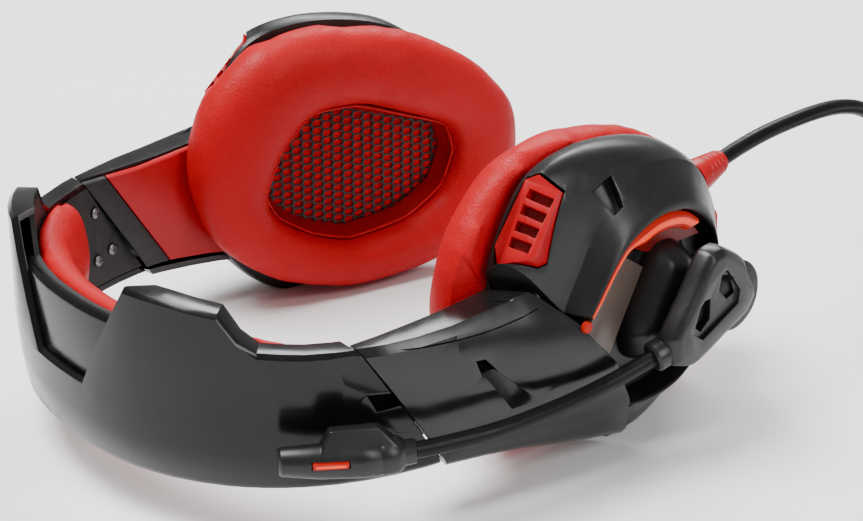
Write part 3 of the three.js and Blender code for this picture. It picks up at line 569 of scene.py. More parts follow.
# ---- Outlines of the ear cup, as [along, height] pairs in millimetres ------------------
CUSHION_OUTLINE = [
    (-55, 56), (-49, 79), (-31, 96), (-6, 100), (28, 93), (56, 77), (72, 58), (73, 36), (62, 14),
    (38, 3.5), (4, 1.5), (-26, 11), (-47, 29),
]
HOUSING_OUTLINE = [
    (-47, 52), (-42, 76), (-28, 95.5), (-6, 100), (27, 93), (48, 76), (57, 58), (56, 36), (48, 18),
    (35, 5), (22, -2), (4, -5), (-22, 2), (-42, 24),
]
CREASE_OUTLINE = [
    (-27, 54), (-18, 70), (-8, 86), (6, 91.5), (20, 91.5), (33, 86), (41, 76), (45, 61), (44, 40),
    (38, 24), (27, 13), (6, 8), (-17, 20), (-28, 36),
]
RECESS_OUTLINE = [
    (-27, 45), (-18, 59), (-6, 72), (10, 77.5), (25, 75), (36, 65), (40, 48), (36, 29), (22, 18),
    (-2, 18), (-20, 28),
]
EAR_OPENING = [
    (-27, 42), (-21, 57), (-9, 69), (8, 69), (27, 62), (44, 55), (47, 45), (42, 32), (28, 23),
    (5, 20), (-10, 25), (-23, 34),
]
AROUND = 144


def closed_spline(points, tight=0.0, steps=24):
    """Centripetal Catmull-Rom curve through a closed outline, drawn towards its chords by tight."""
    count = len(points)
    made = []
    for i in range(count):
        a, b, c, d = (Vector(points[(i + k) % count]) for k in (-1, 0, 1, 2))
        t0 = 0
        t1 = t0 + math.sqrt((b - a).length)
        t2 = t1 + math.sqrt((c - b).length)
        t3 = t2 + math.sqrt((d - c).length)
        for k in range(steps):
            t = t1 + (t2 - t1) * k / steps
            ab = a * ((t1 - t) / (t1 - t0)) + b * ((t - t0) / (t1 - t0))
            bc = b * ((t2 - t) / (t2 - t1)) + c * ((t - t1) / (t2 - t1))
            cd = c * ((t3 - t) / (t3 - t2)) + d * ((t - t2) / (t3 - t2))
            abc = ab * ((t2 - t) / (t2 - t0)) + bc * ((t - t0) / (t2 - t0))
            bcd = bc * ((t3 - t) / (t3 - t1)) + cd * ((t - t1) / (t3 - t1))
            curve = abc * ((t2 - t) / (t2 - t1)) + bcd * ((t - t1) / (t2 - t1))
            made.append(curve.lerp(b.lerp(c, k / steps), tight))
    return made


def radii(outline, tight, count=AROUND):
    """Distance of the outline from the cup's middle at equal angles."""
    polar = sorted(
        (math.atan2(p.y - CUP_MIDDLE[1], p.x - CUP_MIDDLE[0]) % (2 * math.pi),
         math.hypot(p.x - CUP_MIDDLE[0], p.y - CUP_MIDDLE[1]))
        for p in closed_spline(outline, tight)
    )
    (last_angle, last_radius), (first_angle, first_radius) = polar[-1], polar[0]
    turn = 2 * math.pi
    polar = [(last_angle - turn, last_radius), *polar, (first_angle + turn, first_radius)]
    made = []
    k = 0
    for i in range(count):
        angle = turn * i / count
        while polar[k + 1][0] < angle:
            k += 1
        (a0, r0), (a1, r1) = polar[k], polar[k + 1]
        made.append(r0 + (r1 - r0) * (angle - a0) / max(a1 - a0, 1e-9))
    return made


CUSHION_R, HOUSING_R, CREASE_R, RECESS_R, OPENING_R = (
    radii(outline, tight) for outline, tight in (
        (CUSHION_OUTLINE, 0.35), (HOUSING_OUTLINE, 0.1), (CREASE_OUTLINE, 0.2), (RECESS_OUTLINE, 0.1),
        (EAR_OPENING, 0.6),
    )
)


def mix(a, b, part):
    return a + (b - a) * part


def polar_point(i, radius, d, side, count=AROUND, floor=None):
    angle = 2 * math.pi * i / count
    s = CUP_MIDDLE[0] + radius * math.cos(angle)
    z = CUP_MIDDLE[1] + radius * math.sin(angle)
    if floor is not None:
        z = max(z, floor)
    return cup(s, z, d, side)


def smooth_profile(stations, steps):
    """Catmull-Rom through (radius, depth) stations of one open run."""
    return smooth_route([Vector((r, d, 0)) for r, d in stations], steps)


def hull(name, points):
    """Convex solid around the points, used as a cutting tool or a simple insert."""
    obj = mesh_object(name, points, [])
    bm = bmesh.new()
    bm.from_mesh(obj.data)
    made = bmesh.ops.convex_hull(bm, input=bm.verts)
    inside = [v for v in made["geom_interior"] if isinstance(v, bmesh.types.BMVert)]
    bmesh.ops.delete(bm, geom=inside, context="VERTS")
    bmesh.ops.recalc_face_normals(bm, faces=bm.faces)
    bm.to_mesh(obj.data)
    bm.free()
    return obj


def boolean(obj, tools, operation="DIFFERENCE"):
    for tool in tools:
        add_modifier(obj, "BOOLEAN", operation=operation, object=tool, solver="EXACT")
    apply_modifiers(obj)
    for tool in tools:
        bpy.data.objects.remove(tool)
    return obj


def slab(name, corners, push):
    """Flat-ended solid between a polygon and its copy moved by push."""
    return hull(name, [*corners, *(c + push for c in corners)])


# ---- Hard parts carried over from the CAD with rounded edges ---------------------------
def moulded(node, look, width=0.5, segments=3, tools=()):
    obj = copy_of(node, "seen_" + node)
    if tools:
        boolean(obj, tools)
    rounded(obj, width, segments)
    return stand_for(obj, node, LOOKS[look])


BAND_HALF, BAND_DEPTH, BAND_POWER = 88, 95, 2.2


def band_normal(x, y):
    """Direction out of the band's outer face at a point of its plan curve."""
    steep = BAND_POWER - 1
    across = (abs(x) / BAND_HALF) ** steep / BAND_HALF
    along = (abs(y) / BAND_DEPTH) ** steep / BAND_DEPTH
    return Vector((across, -along, 0)).normalized()


POCKET = [(81.6, -40.3, 47), (83.8, -33.3, 46.4), (84.6, -29.9, 41.9), (82.6, -37.4, 41)]
BAND_FACET = [
    (77.8, -49.2, 60.2), (80.2, -43.2, 60.3), (83.6, -33.9, 47.2), (81.4, -41, 47.8),
    (80.9, -42.2, 48.9), (79.2, -46.2, 51.5),
]
POCKET_DEPTH, FACET_DEPTH = 1.9, 0.35
LOW_FACET = [(82.7, -37.2, 40.2), (84.7, -29.4, 40.8), (85.6, -25.4, 31.7), (84, -32, 33)]


def crown_slab(name, corners, side, high, low):
    """Solid over corners beside the crown, between two depths below its face."""
    outward = Vector((side * 0.9, -0.43, 0)) * MM
    points = [at(side * x, y, z) - outward * depth for x, y, z in corners for depth in (high, low)]
    return hull(name, points)


def crown_tools(side):
    """Pocket beside the arm's seam, with a shallow facet above and below it."""
    facets = [crown_slab("facet", corners, side, -4, FACET_DEPTH) for corners in (BAND_FACET, LOW_FACET)]
    return [crown_slab("pocket", POCKET, side, -2.5, POCKET_DEPTH), *facets]


ARM_SLIT = [(89.2, -6.9, 50.8), (89.7, -3.6, 50.6), (91.1, 0.2, 46.2), (90.5, -5, 45.5)]


def arm_tools(side):
    """Slit with a fading facet on the outer face, and a bent slot in the top face."""
    into = Vector((-side, 0, 0)) * 4.6 * MM
    tools = [slab("slit", [at(side * (x + 2), y, z) for x, y, z in ARM_SLIT], into)]
    facet = [(91.4, -0.1, 46.2), (90.6, -4.6, 45.8), (92.3, 5.1, 32), (94, 14, 32.8)]
    depth = [1.5, 1.5, 0, 0]
    low = [at(side * (x - d), y, z) for (x, y, z), d in zip(facet, depth)]
    high = [at(side * (x + 3), y, z) for x, y, z in facet]
    tools.append(hull("facet", low + high))
    down = Vector((0, 0, -2.6)) * MM
    for wing in ([(81.6, -10.5), (79.4, 2.2), (82.6, 1.6)], [(79.4, 2.2), (86.6, 8.8), (82.6, 1.6)]):
        tools.append(slab("slot", [at(side * x, y, 66.5) for x, y in wing], down))
    return tools


def make_crown_and_arms():
    moulded("crown_cover", "gloss_black", 0.7,
            tools=[tool for side in SIDES.values() for tool in crown_tools(side)])
    moulded("crown_center_panel", "gloss_black", 0.5)
    for name, side in SIDES.items():
        moulded("arm_cover_" + name, "arm_black", 0.7, tools=arm_tools(side))
        moulded("arm_red_panel_" + name, "red_plastic", 0.5)
        moulded("arm_inner_frame_" + name, "soft_black", 0.4)
        arm_seam(name, side)
        # Near-black matte floor in the crown pocket: painted shade at the bottom of the recess.
        dark = crown_slab("pocket_floor_" + name, POCKET, side, POCKET_DEPTH - 0.4, POCKET_DEPTH + 0.5)
        extra(rounded(dark, 0.1, 1), "crown", LOOKS["seam_and_painted_shade_black"])
        # Near-black matte floor in the arm slit: painted shade inside the slit.
        slit = [at(side * (x - d), y, z) for x, y, z in ARM_SLIT for d in (1.2, 2.6)]
        slit_floor = rounded(hull("slit_floor_" + name, slit), 0.1, 1)
        extra(slit_floor, "arm_" + name, LOOKS["seam_and_painted_shade_black"])


def arm_seam(name, side):
    """Dark joint line between the arm's top strip and its outer shell."""
    line = [(78.7, -40.9, 59.7), (85.4, -26.5, 59.3), (87.4, -13.9, 58.5), (88.5, -2.7, 58.3),
            (89.4, 8.9, 59.3), (89.6, 16.6, 60.6)]
    points = smooth_route([at(side * x, y, z) for x, y, z in line], 8)
    seam = tube_curve("arm_seam_" + name, points, 0.22, 2)
    extra(seam, "arm_" + name, LOOKS["seam_and_painted_shade_black"])


# ---- Ear cup shells --------------------------------------------------------------------
HOUSING_EDGE_X, CUSHION_EDGE_X = 69.9, 71.9
JOINT_POINT, JOINT_SLOPE = Vector((75, 8, 66)), Vector((-0.8, 1, 0.62))
JOINT_GAP = 1.5
GRIP_FACE = [
    (-27, 94, 13.5), (-25, 96, 17), (-22, 91.5, 23), (-34.5, 75.5, 25.5), (-37, 74.5, 24.5),
    (-39.5, 70.5, 14), (-40, 77, 13.5),
]
GRIP_SINK = Vector((4.4, -3.6, -1))


def arm_wedge(side, clear_x):
    """The room that the arm takes out of the cup beside it."""
    spans = ((clear_x, clear_x + 150), (-150, 200), (-60, 220))
    tool = hull("wedge", [Vector((x, y, z)) for x in spans[0] for y in spans[1] for z in spans[2]])
    normal = JOINT_SLOPE.normalized()
    bm = bmesh.new()
    bm.from_mesh(tool.data)
    cut = bmesh.ops.bisect_plane(
        bm, geom=[*bm.verts, *bm.edges, *bm.faces], plane_co=JOINT_POINT + normal * JOINT_GAP,
        plane_no=normal, clear_outer=True,
    )
    edges = [e for e in cut["geom_cut"] if isinstance(e, bmesh.types.BMEdge)]
    bmesh.ops.holes_fill(bm, edges=edges)
    for vertex in bm.verts:
        x, y, z = vertex.co
        vertex.co = at(side * x, y, z)
    bmesh.ops.recalc_face_normals(bm, faces=bm.faces)
    bm.to_mesh(tool.data)
    bm.free()
    return tool


def grip_pocket(side):
    middle = sum((Vector(p) for p in GRIP_FACE), Vector()) / len(GRIP_FACE)
    face = [middle + (Vector(p) - middle) * 1.07 for p in GRIP_FACE]
    lifted = [cup(*(p - GRIP_SINK * 2), side) for p in face]
    sunk = [cup(*(p + GRIP_SINK * 1.1), side) for p in face]
    return hull("grip_pocket", lifted + sunk)


def notch(side):
    """Three-cornered notch where the cup's ridge meets the hood."""
    corners = [(-12, 90, 25), (-4, 93, 25.5), (-3.2, 83.4, 31), (-6.8, 81.6, 30.6)]
    sunk = [cup(s + 2.6, z - 3.4, d - 2.6, side) for s, z, d in corners[:2]]
    sunk += [cup(s + 1.4, z - 1.6, d - 3, side) for s, z, d in corners[2:]]
    lifted = [cup(s - 1.5, z + 2, d + 3, side) for s, z, d in corners]
    return hull("notch", lifted + sunk)


def housing_stations(i):
    """Outer side, hood and recess of the cup at one angle, as (radius, depth)."""
    house, crease = HOUSING_R[i], CREASE_R[i]
    recess = min(RECESS_R[i], crease - 1.8)
    shoulder = mix(house, crease, 0.3)
    lip = mix(crease, recess, 0.8)
    side_run = smooth_profile(
        [(house - 0.8, 12), (house, 14.5), (house, 18.5), (shoulder, 23.4), (crease, 28.4)], 5)
    hood = smooth_profile([(crease, 28.4), (mix(crease, lip, 0.45), 31.1), (lip, 35)], 4)[1:]
    rim_and_wall = ((mix(lip, recess, 0.7), 35.6), (recess, 35), (recess - 0.8, 27))
    inner = [Vector((r, d, 0)) for r, d in rim_and_wall]
    return [*side_run, *hood, *inner]


def make_housing(name, side):
    stations = [housing_stations(i) for i in range(AROUND)]
    rings = [[polar_point(i, stations[i][k].x, stations[i][k].y, side, floor=0) for i in range(AROUND)]
             for k in range(len(stations[0]))]
    shell = loft("ear_cup_shell_" + name, rings)
    boolean(shell, [arm_wedge(side, HOUSING_EDGE_X), grip_pocket(side), notch(side)])
    rounded(shell, 0.45, 2, 28)
    stand_for(shell, "cup_housing_" + name, LOOKS["satin_black"])


def strip_rings(side, share, lift):
    """Cross-sections of the light guide: narrow beside the arm, broad under the hood."""
    first, last = round(AROUND * 0.118), round(AROUND * 0.478)
    rings = []
    for i in range(first, last + 1):
        part = (i - first) / (last - first)
        fade = 1 - min(1, max(0, (part - 0.42) / 0.2))
        full = (2.0 + 3.4 * fade * fade * (3 - 2 * fade)) * min(1, (i - first) / 3 + 0.5)
        middle = RECESS_R[i] - 1.2 - full / 2
        ring = []
        for k in range(12):
            turn = 2 * math.pi * k / 12
            radius = middle + full / 2 * share * math.cos(turn)
            ring.append(polar_point(i, radius, 33.2 + lift + 1.5 * share * math.sin(turn), side))
        rings.append(ring)
    return rings


def make_light_strip(name, side):
    """Deep red light guide with its brighter core and round end."""
    strip = smooth(loft("light_strip_" + name, strip_rings(side, 1, 0)), 60)
    stand_for(strip, "light_ring_" + name, LOOKS["glow_red"])
    core = smooth(loft("light_core_" + name, strip_rings(side, 0.5, 0.9)), 60)
    extra(core, "cup_" + name, LOOKS["hot_glow"])
    end = lathe("light_end_" + name, [(0, -1), (1.5, -1), (1.8, -0.6), (1.8, 0.6), (1.5, 1), (0, 1)],
                cup(-23.6, 52, 35, side), Vector((side * OUTWARD.x, OUTWARD.y, 0)), 24)
    extra(smooth(end), "cup_" + name, LOOKS["glow_red"])


BOSS_OUTLINE = [
    (7, 62), (12, 66.5), (20, 66), (28, 59), (33, 49), (31, 36), (22, 28.5), (10, 28), (0, 32), (-3, 40),
]


BOSS_CROWN = [(1, 29.4), (1, 31), (0.95, 33.5), (0.86, 36.4), (0.76, 38.8), (0.62, 40.6), (0.4, 41.6)]
PANEL_FACET = [(-5.6, 69), (-19.4, 46.5), (-8, 36), (6.6, 60.5)]
# Facet near the light strip that gets the painted red glow.
PAINTED_GLOW_FACET = [(-1, 70), (4, 72.6), (14, 74), (27, 71), (34, 63), (19, 64), (8, 65)]


def make_recess(name, side):
    """Inner cap with its broad boss, and the facets beside and above the light strip; one facet carries a
    painted red glow of the strip's light.
    """
    moulded("outer_cap_" + name, "satin_black", 0.6)
    middle = Vector((14, 48))
    outline = closed_spline(BOSS_OUTLINE, 0.25, 8)
    rings = [[cup(*(middle + (p - middle) * share), d, side) for p in outline]
             for share, d in BOSS_CROWN]
    boss = loft("boss_" + name, rings)
    extra(rounded(boss, 0.4, 2, 35), "cup_" + name, LOOKS["satin_black"])
    low_and_high = [cup(s, z, d, side) for d in (31.6, 29.9) for s, z in PANEL_FACET]
    facet = hull("recess_facet_" + name, low_and_high)
    extra(rounded(facet, 0.4, 3), "cup_" + name, LOOKS["smoked_panel"])
    # Facet with a faint red emission: painted glow of the light strip's light falling on it.
    painted_glow_bed = hull("painted_glow_facet_" + name, [cup(s, z, d, side) for s, z in PAINTED_GLOW_FACET for d in (29, 31.4)])
    extra(rounded(painted_glow_bed, 0.5, 3), "cup_" + name, LOOKS["painted_red_glow"])


def make_grip(name, side):
    """Grip with the red floor seen through its slots."""
    moulded("red_grip_" + name, "red_plastic", 0.45)
    middle = sum((Vector(p) for p in GRIP_FACE), Vector()) / len(GRIP_FACE)
    face = [middle + (Vector(p) - middle) * 0.86 for p in GRIP_FACE]
    sunk = [cup(*(p + GRIP_SINK * share), side) for p in face for share in (0.75, 1.02)]
    floor = hull("grip_floor_" + name, sunk)
    extra(rounded(floor, 0.2, 2), "cup_" + name, LOOKS["red_plastic"])


# ---- Ear cushions ----------------------------------------------------------------------
def cushion_profile(i, ease=(0.0, 0.0)):
    """Cross-section from the ear opening over the face to the back, as (radius, depth)."""
    inner, outer = OPENING_R[i], CUSHION_R[i]
    across = [
        (0.03, 9), (0.005, 6), (0, 2.5), (0.02, -1.2), (0.08, -3.8), (0.2, -5.9), (0.38, -6.9),
        (0.56, -6.9), (0.74, -5.9), (0.88, -3.6), (0.965, -0.4), (1, 3.6), (0.995, 7.2), (0.965, 10.4),
        (0.93, 10.9),
    ]
    stations = [(mix(inner + ease[0], outer + ease[1], a), d) for a, d in across]
    front = smooth_profile(stations, 3)
    back = [(mix(inner, outer, 0.92), 9), (mix(inner, outer, 0.5), 9), (mix(inner, outer, 0.2), 9)]
    return [*((p.x, p.y) for p in front), *back]


def puff(obj, voxel, cap, pressure=4):
    """Swells a soft piece as cloth under pressure, and limits how far it moves."""
    add_modifier(obj, "REMESH", mode="VOXEL", voxel_size=voxel * MM, use_smooth_shade=True)
    apply_modifiers(obj)
    rest = [v.co.copy() for v in obj.data.vertices]
    scene = bpy.context.scene
    cloth = obj.modifiers.new("cloth", "CLOTH")
    cloth.settings.use_pressure = True
    cloth.settings.uniform_pressure_force = pressure
    cloth.settings.effector_weights.gravity = 0
    cloth.settings.quality = 4
    cloth.collision_settings.use_collision = False
    for frame_number in range(1, 21):
        scene.frame_set(frame_number)
    apply_modifiers(obj)
    scene.frame_set(1)
    for vertex, start in zip(obj.data.vertices, rest):
        moved = vertex.co - start
        if moved.length > cap * MM:
            vertex.co = start + moved.normalized() * cap * MM
    add_modifier(obj, "SMOOTH", factor=0.5, iterations=6)
    add_modifier(obj, "SUBSURF", levels=1, render_levels=1)
    apply_modifiers(obj)
    return obj


def mirror_copy(obj, name):
    """The same mesh on the other side of the headset."""
    twin = link(name, obj.data.copy())
    for vertex in twin.data.vertices:
        vertex.co.x = 2 * SHIFT.x - vertex.co.x
    face_out(twin)
    for polygon in twin.data.polygons:
        polygon.use_smooth = True
    return twin


def ring_tube(name, i_to_point, radius, count=AROUND):
    """Closed welt following a ring of points."""
    points = [i_to_point(i) for i in range(count)]
    rings = []
    for i, p in enumerate(points):
        tangent = (points[(i + 1) % count] - points[i - 1]).normalized()
        helper = Vector((0, 0, 1)) if abs(tangent.z) < 0.9 else Vector((1, 0, 0))
        side_way = tangent.cross(helper).normalized()
        up = side_way.cross(tangent)
        rings.append([p + (side_way * math.cos(a) + up * math.sin(a)) * radius * MM
                      for a in (2 * math.pi * k / 8 for k in range(8))])
    aligned = loft(name, rings, closed_path=True)
    return smooth(aligned, 80)


WELT_DEPTH = 1.6
LINING = [(0.5, 1.4), (-1.4, 5), (-2.6, 7.2), (-1.6, 7.3), (1.2, 3)]
CUSHION_CLOTH, CROWN_CLOTH = (3.2, 2.2), (3.0, 2.0)  # voxel size and greatest movement


def make_cushions():
    ease = ((0.9, 0.6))
    rings = [[polar_point(i, r, d, 1) for r, d in cushion_profile(i, ease)] for i in range(AROUND)]
    near = loft("cushion_mic_side", rings, closed_path=True)
    puff(near, *CUSHION_CLOTH)
    twin = mirror_copy(near, "cushion_plain_side")
    boolean(near, [arm_wedge(1, CUSHION_EDGE_X)])
    boolean(twin, [arm_wedge(-1, CUSHION_EDGE_X)])
    for obj, (name, side) in zip((near, twin), SIDES.items()):
        smooth(obj, 60)
        stand_for(obj, "ear_cushion_" + name, LOOKS["red_leather"])
        welt = ring_tube(
            "opening_welt_" + name, lambda i: polar_point(i, OPENING_R[i] + 0.3, WELT_DEPTH, side), 0.55)
        extra(welt, "cup_" + name, LOOKS["red_leather"])
        lining = [[polar_point(i, OPENING_R[i] + grow, d, side) for grow, d in LINING]
                  for i in range(AROUND)]
        wall = smooth(loft("opening_lining_" + name, lining, closed_path=True), 50)
        extra(wall, "cup_" + name, LOOKS["red_lining"])


def make_crown_pad():
    pad = copy_of("crown_pad", "head_pad")
    puff(pad, *CROWN_CLOTH)
    smooth(pad, 70)
    stand_for(pad, "crown_pad", LOOKS["red_leather"])


# ---- Ear mesh --------------------------------------------------------------------------
HOLE_STEP_S, HOLE_STEP_Z = 4.0, 2.9
HOLE_SHARE = 0.78
TILE = [(2.45, 0), (1.55, 1.45), (-1.55, 1.45), (-2.45, 0), (-1.55, -1.45), (1.55, -1.45)]


def inside_opening(s, z, margin):
    angle = math.atan2(z - CUP_MIDDLE[1], s - CUP_MIDDLE[0]) % (2 * math.pi)
    i = round(angle / (2 * math.pi) * AROUND) % AROUND
    return math.hypot(s - CUP_MIDDLE[0], z - CUP_MIDDLE[1]) < OPENING_R[i] + margin


def make_ear_mesh(name, side):
    """Black mesh of long six-cornered holes in staggered columns."""
    points, faces = [], []
    for column in range(-10, 12):
        for row in range(-20, 21):
            s = CUP_MIDDLE[0] + column * HOLE_STEP_S
            z = CUP_MIDDLE[1] + row * HOLE_STEP_Z + (column % 2) * HOLE_STEP_Z / 2
            if not inside_opening(s, z, -1.2):
                continue
            first = len(points)
            for share in (1, HOLE_SHARE):
                points += [cup(s + a * share, z + b * share, 7.6, side) for a, b in TILE]
            for k in range(6):
                j = (k + 1) % 6
                faces.append((first + k, first + j, first + 6 + j, first + 6 + k))
    obj = mesh_object("ear_grille_" + name, points, faces)
    bm = bmesh.new()
    bm.from_mesh(obj.data)
    bmesh.ops.remove_doubles(bm, verts=bm.verts, dist=2e-5)
    bm.to_mesh(obj.data)
    bm.free()
    add_modifier(obj, "SOLIDIFY", thickness=0.4 * MM, offset=0)
    add_modifier(obj, "BEVEL", width=0.08 * MM, segments=2, limit_method="ANGLE",
                 angle_limit=math.radians(40))
    apply_modifiers(obj)
    face_out(obj)
    smooth(obj, 30)
    stand_for(obj, "ear_mesh_" + name, LOOKS["grille_black"])


# ---- Microphone ------------------------------------------------------------------------
HUB_OUTLINE = [
    (-4, 46), (-3, 37.5), (5.5, 34), (17, 37), (33, 43.5), (36.5, 49), (33, 56), (29.5, 63), (18.5, 70),
    (13, 69.5), (5, 59),
]
HUB_EDGE = [(-3, 46), (-1, 46.3), (0, 47.6), (0, 50.6), (-0.6, 52.4), (-2, 53.6), (-3.6, 54)]
HUB_POCKET = [(4, 46), (9, 42.5), (26, 49), (26.5, 53.5), (19.5, 62.5), (16, 62), (7, 54)]
HUB_WINDOWS = [
    [(5.8, 47.6), (9.4, 44.6), (13.6, 47.6), (13.4, 54.4), (9, 54.6)],
    [(17.6, 55.6), (21.6, 51.6), (25.4, 52.6), (22.4, 59.4), (18.8, 60.6)],
]


def make_hub():
    """Rounded block that carries the boom, with a shallow field and two plain windows."""
    outline = closed_spline(HUB_OUTLINE, 0.5, 8)
    middle = sum(outline, Vector((0, 0))) / len(outline)
    rings = []
    for grow, d in HUB_EDGE:
        rings.append([cup(*(p + (p - middle).normalized() * grow), d, 1) for p in outline])
    hub = loft("hub_block", rings)
    tools = [hull("field", [cup(s, z, d, 1) for s, z in HUB_POCKET for d in (52.6, 56)])]
    tools += [hull("window", [cup(s, z, d, 1) for s, z in w for d in (49.6, 56)]) for w in HUB_WINDOWS]
    boolean(hub, tools)
    stand_for(rounded(hub, 0.35, 3), "mic_hub", LOOKS["satin_black"])
    rim = [(0, 0), (10.6, 0), (11.6, 0.8)]
    for k in range(3):
        rim += [(11.6, 1.6 + 1.4 * k), (11.1, 2 + 1.4 * k), (11.1, 2.4 + 1.4 * k), (11.6, 2.8 + 1.4 * k)]
    rim += [(11.2, 6.4), (9.8, 7.4), (0, 7.4)]
    dial = lathe("hub_dial", rim, cup(30, 48.5, 43.6, 1), Vector(OUTWARD), 56)
    extra(smooth(dial, 40), "microphone", LOOKS["soft_black"])


HEAD_TIP, HEAD_END = Vector((78.8, -69.8, 34.6)), Vector((94.3, -34.8, 32.6))
HEAD_BOW = Vector((1.6, -0.7, 0))
HEAD_ACROSS = Vector((0.88, -0.475, 0))


def head_point(part, across, up):
    """Point beside the microphone head's axis, part 0 at the tip and 1 at the boom."""
    middle = HEAD_TIP.lerp(HEAD_END, part) + HEAD_BOW * 4 * part * (1 - part)
    return at(*(middle + HEAD_ACROSS * across + Vector((0, 0, up))))


HEAD_STATIONS = [
    (0, 3.2, 3.6), (0.02, 4, 4.3), (0.3, 4.9, 5.2), (0.62, 5.3, 5.7), (0.76, 5.4, 5.8),
    (0.77, 5.15, 5.5), (0.785, 5.4, 5.8), (0.9, 5.3, 5.7), (0.95, 4.3, 4.6), (0.96, 3.7, 3.9),
    (1.05, 3.5, 3.7),
]  # part along the head, half width, half height


def head_block(name, parts, across, up):
    """Block on the microphone head between pairs of coordinates."""
    return hull(name, [head_point(p, a, u) for p in parts for a in across for u in up])


def make_head():
    """Tapered barrel with a flat-topped fin and a groove before the boom."""
    rings = [[head_point(part, wide * math.cos(a), tall * math.sin(a) - 0.2)
              for a in (2 * math.pi * k / 32 for k in range(32))] for part, wide, tall in HEAD_STATIONS]
    barrel = loft("head_barrel", rings)
    low = [(p, a, 3) for p in (0.3, 0.93) for a in (-3.6, 3.6)]
    high = [(p, a, 10) for p in (0.38, 0.76) for a in (-1.8, 1.8)]
    fin = hull("head_fin", [head_point(*p) for p in low + high])
    rounded(fin, 0.7, 4)
    boolean(barrel, [fin], "UNION")
    slit = head_block("head_slit", (0.235, 0.525), (3.4, 8), (-0.4, 1.9))
    boolean(barrel, [slit])
    stand_for(rounded(barrel, 0.25, 2, 35), "mic_head", LOOKS["satin_black"])


def make_microphone():
    make_hub()
    moulded("mic_axle", "soft_black", 0.4)
    boom = copy_of("mic_boom", "seen_mic_boom")
    stand_for(smooth(boom, 50), "mic_boom", LOOKS["cable_black"])
    make_head()
    halo = head_block("light_frame", (0.245, 0.515), (3.6, 5.35), (-0.1, 1.6))
    stand_for(rounded(halo, 0.4, 3), "mic_light", LOOKS["glow_red"])
    core = head_block("light_core", (0.265, 0.495), (4, 5.6), (0.4, 1.1))
    extra(rounded(core, 0.3, 3), "microphone", LOOKS["hot_glow"])
    moulded("mic_capsule", "dark_steel", 0.3)
    start, second = Vector((104, 52.6, 39.8)), Vector((103, 46, 37.7))
    axis = (second - start).normalized()
    profile = [(0, -5.4), (4.2, -5.4), (4.8, -4.4), (4.8, 1.4), (4.2, 2.2), (2.9, 2.4), (0, 2.2)]
    collar = lathe("boom_collar", profile, at(*start), axis, 32)
    extra(smooth(collar), "microphone", LOOKS["satin_black"])


# ---- Fixings, relief and plug ----------------------------------------------------------
SCREW_HEAD = [(0, -0.5), (2, -0.5), (2, 0), (1.6, 0.4), (0.8, 0.55), (0, 0.55)]


def make_screws():
    """Round heads with a cross recess, lying on the inner face of the crown."""
    for name, side in SIDES.items():
        for index in (1, 2, 3):
            node = f"liner_screw_{index}_{name}"
            middle = node_middle(node) - SHIFT
            flat = band_normal(abs(middle.x) / MM + 8, middle.y / MM)
            inward = Vector((-side * flat.x, -flat.y, 0))
            across = inward.cross(Vector((0, 0, 1))).normalized()
            head = lathe(f"seen_{node}", SCREW_HEAD, node_middle(node), inward, 28)
            tools = []
            for way in (across, Vector((0, 0, 1))):
                other = inward.cross(way)
                corners = [node_middle(node) + (way * a + other * b + inward * c) * MM
                           for a in (-1.15, 1.15) for b in (-0.24, 0.24) for c in (0.1, 1.2)]
                tools.append(hull("cross", corners))
            boolean(head, tools)
            stand_for(smooth(head), node, LOOKS["dark_steel"])


def make_relief():
    start, tip = Vector((69.2, 98, 74)), Vector((68.35, 111.3, 76.9))
    length = (tip - start).length
    profile = [(0, 0), (6.2, 0)]
    ribs = 5
    for k in range(ribs):
        for share, dent in ((0.15, 0), (0.55, 0), (0.7, 0.45), (0.95, 0.45)):
            part = 0.25 + 0.7 * (k + share) / ribs
            profile.append((6.2 - 2.5 * part - dent * 0.6, length * part))
    profile += [(3.4, length * 0.985), (2.7, length), (0, length)]
    relief = lathe("cable_relief", profile, at(*start), tip - start, 36)
    stand_for(smooth(relief, 40), "cable_strain_relief", LOOKS["red_plastic"])
    return relief


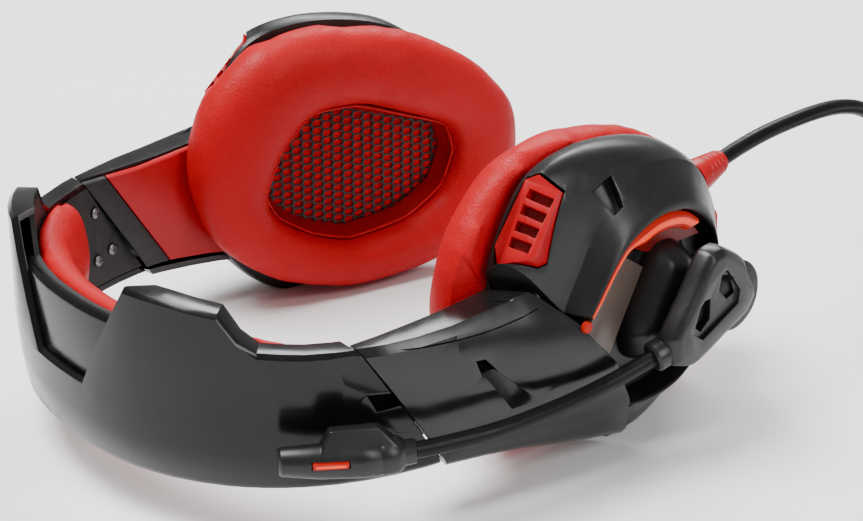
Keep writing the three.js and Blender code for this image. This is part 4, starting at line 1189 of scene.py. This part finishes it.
make_cable()
make_crown_and_arms()
for side_name, side_sign in SIDES.items():
    make_housing(side_name, side_sign)
    make_light_strip(side_name, side_sign)
    make_recess(side_name, side_sign)
    make_grip(side_name, side_sign)
    make_ear_mesh(side_name, side_sign)
make_cushions()
make_crown_pad()
make_microphone()
make_screws()


# ---- Carried-over CAD nodes --------------------------------------------------------
CARRIED = {
    "crown_liner": "soft_black", "headband_spring": "dark_steel", "slider_guide": "soft_black",
    "cup_baffle": "soft_black", "speaker_driver": "steel", "ear_cloth": "red_cloth",
    "circuit_board": "board_green", "hinge_block": "soft_black", "hinge_pin": "dark_steel",
    "cable_tie": "soft_black", "usb_plug_body": "satin_black", "usb_plug_shell": "steel",
    "usb_plug_tongue": "soft_black",
}


def base_name(node):
    for side in SIDES:
        node = node.removesuffix("_" + side)
    return node


def dress_nodes():
    """Gives the CAD nodes that are shown as they are their materials."""
    for name, obj in frame["nodes"].items():
        look = CARRIED.get(base_name(name))
        if look is None or obj.hide_render:
            continue
        obj.data.materials.clear()
        obj.data.materials.append(LOOKS[look])


dress_nodes()


# ---- Stage -------------------------------------------------------------------------
def make_floor():
    half = 6
    corners = [(-half, -half, 0), (half, -half, 0), (half, half, 0), (-half, half, 0)]
    floor = mesh_object("floor", corners, [(0, 1, 2, 3)])
    floor.location.z = -0.0002
    floor.data.materials.append(LOOKS["pale_floor"])


def area_light(name, place, size, power, color=(1, 1, 1)):
    data = bpy.data.lights.new(name, "AREA")
    data.shape = "RECTANGLE"
    data.size, data.size_y = size
    data.energy = power
    data.color = color
    light = link(name, data)
    light.location = place
    light.rotation_mode = "QUATERNION"
    light.rotation_quaternion = (Vector((0, 0, 0.04)) - Vector(place)).to_track_quat("-Z", "Y")
    return light


def make_lights():
    """Soft even surroundings with three broad lights."""
    world = bpy.data.worlds.new("studio")
    bpy.context.scene.world = world
    world.use_nodes = True
    world.node_tree.nodes["Background"].inputs["Color"].default_value = (1, 1, 1, 1)
    world.node_tree.nodes["Background"].inputs["Strength"].default_value = 0.42
    area_light("key", (-0.2, -0.4, 1.3), (0.9, 0.6), 42)
    area_light("side", (1.2, 0.3, 0.8), (0.3, 0.9), 10)
    area_light("back", (-0.7, 0.9, 1.0), (0.8, 0.4), 18)


make_floor()
make_lights()
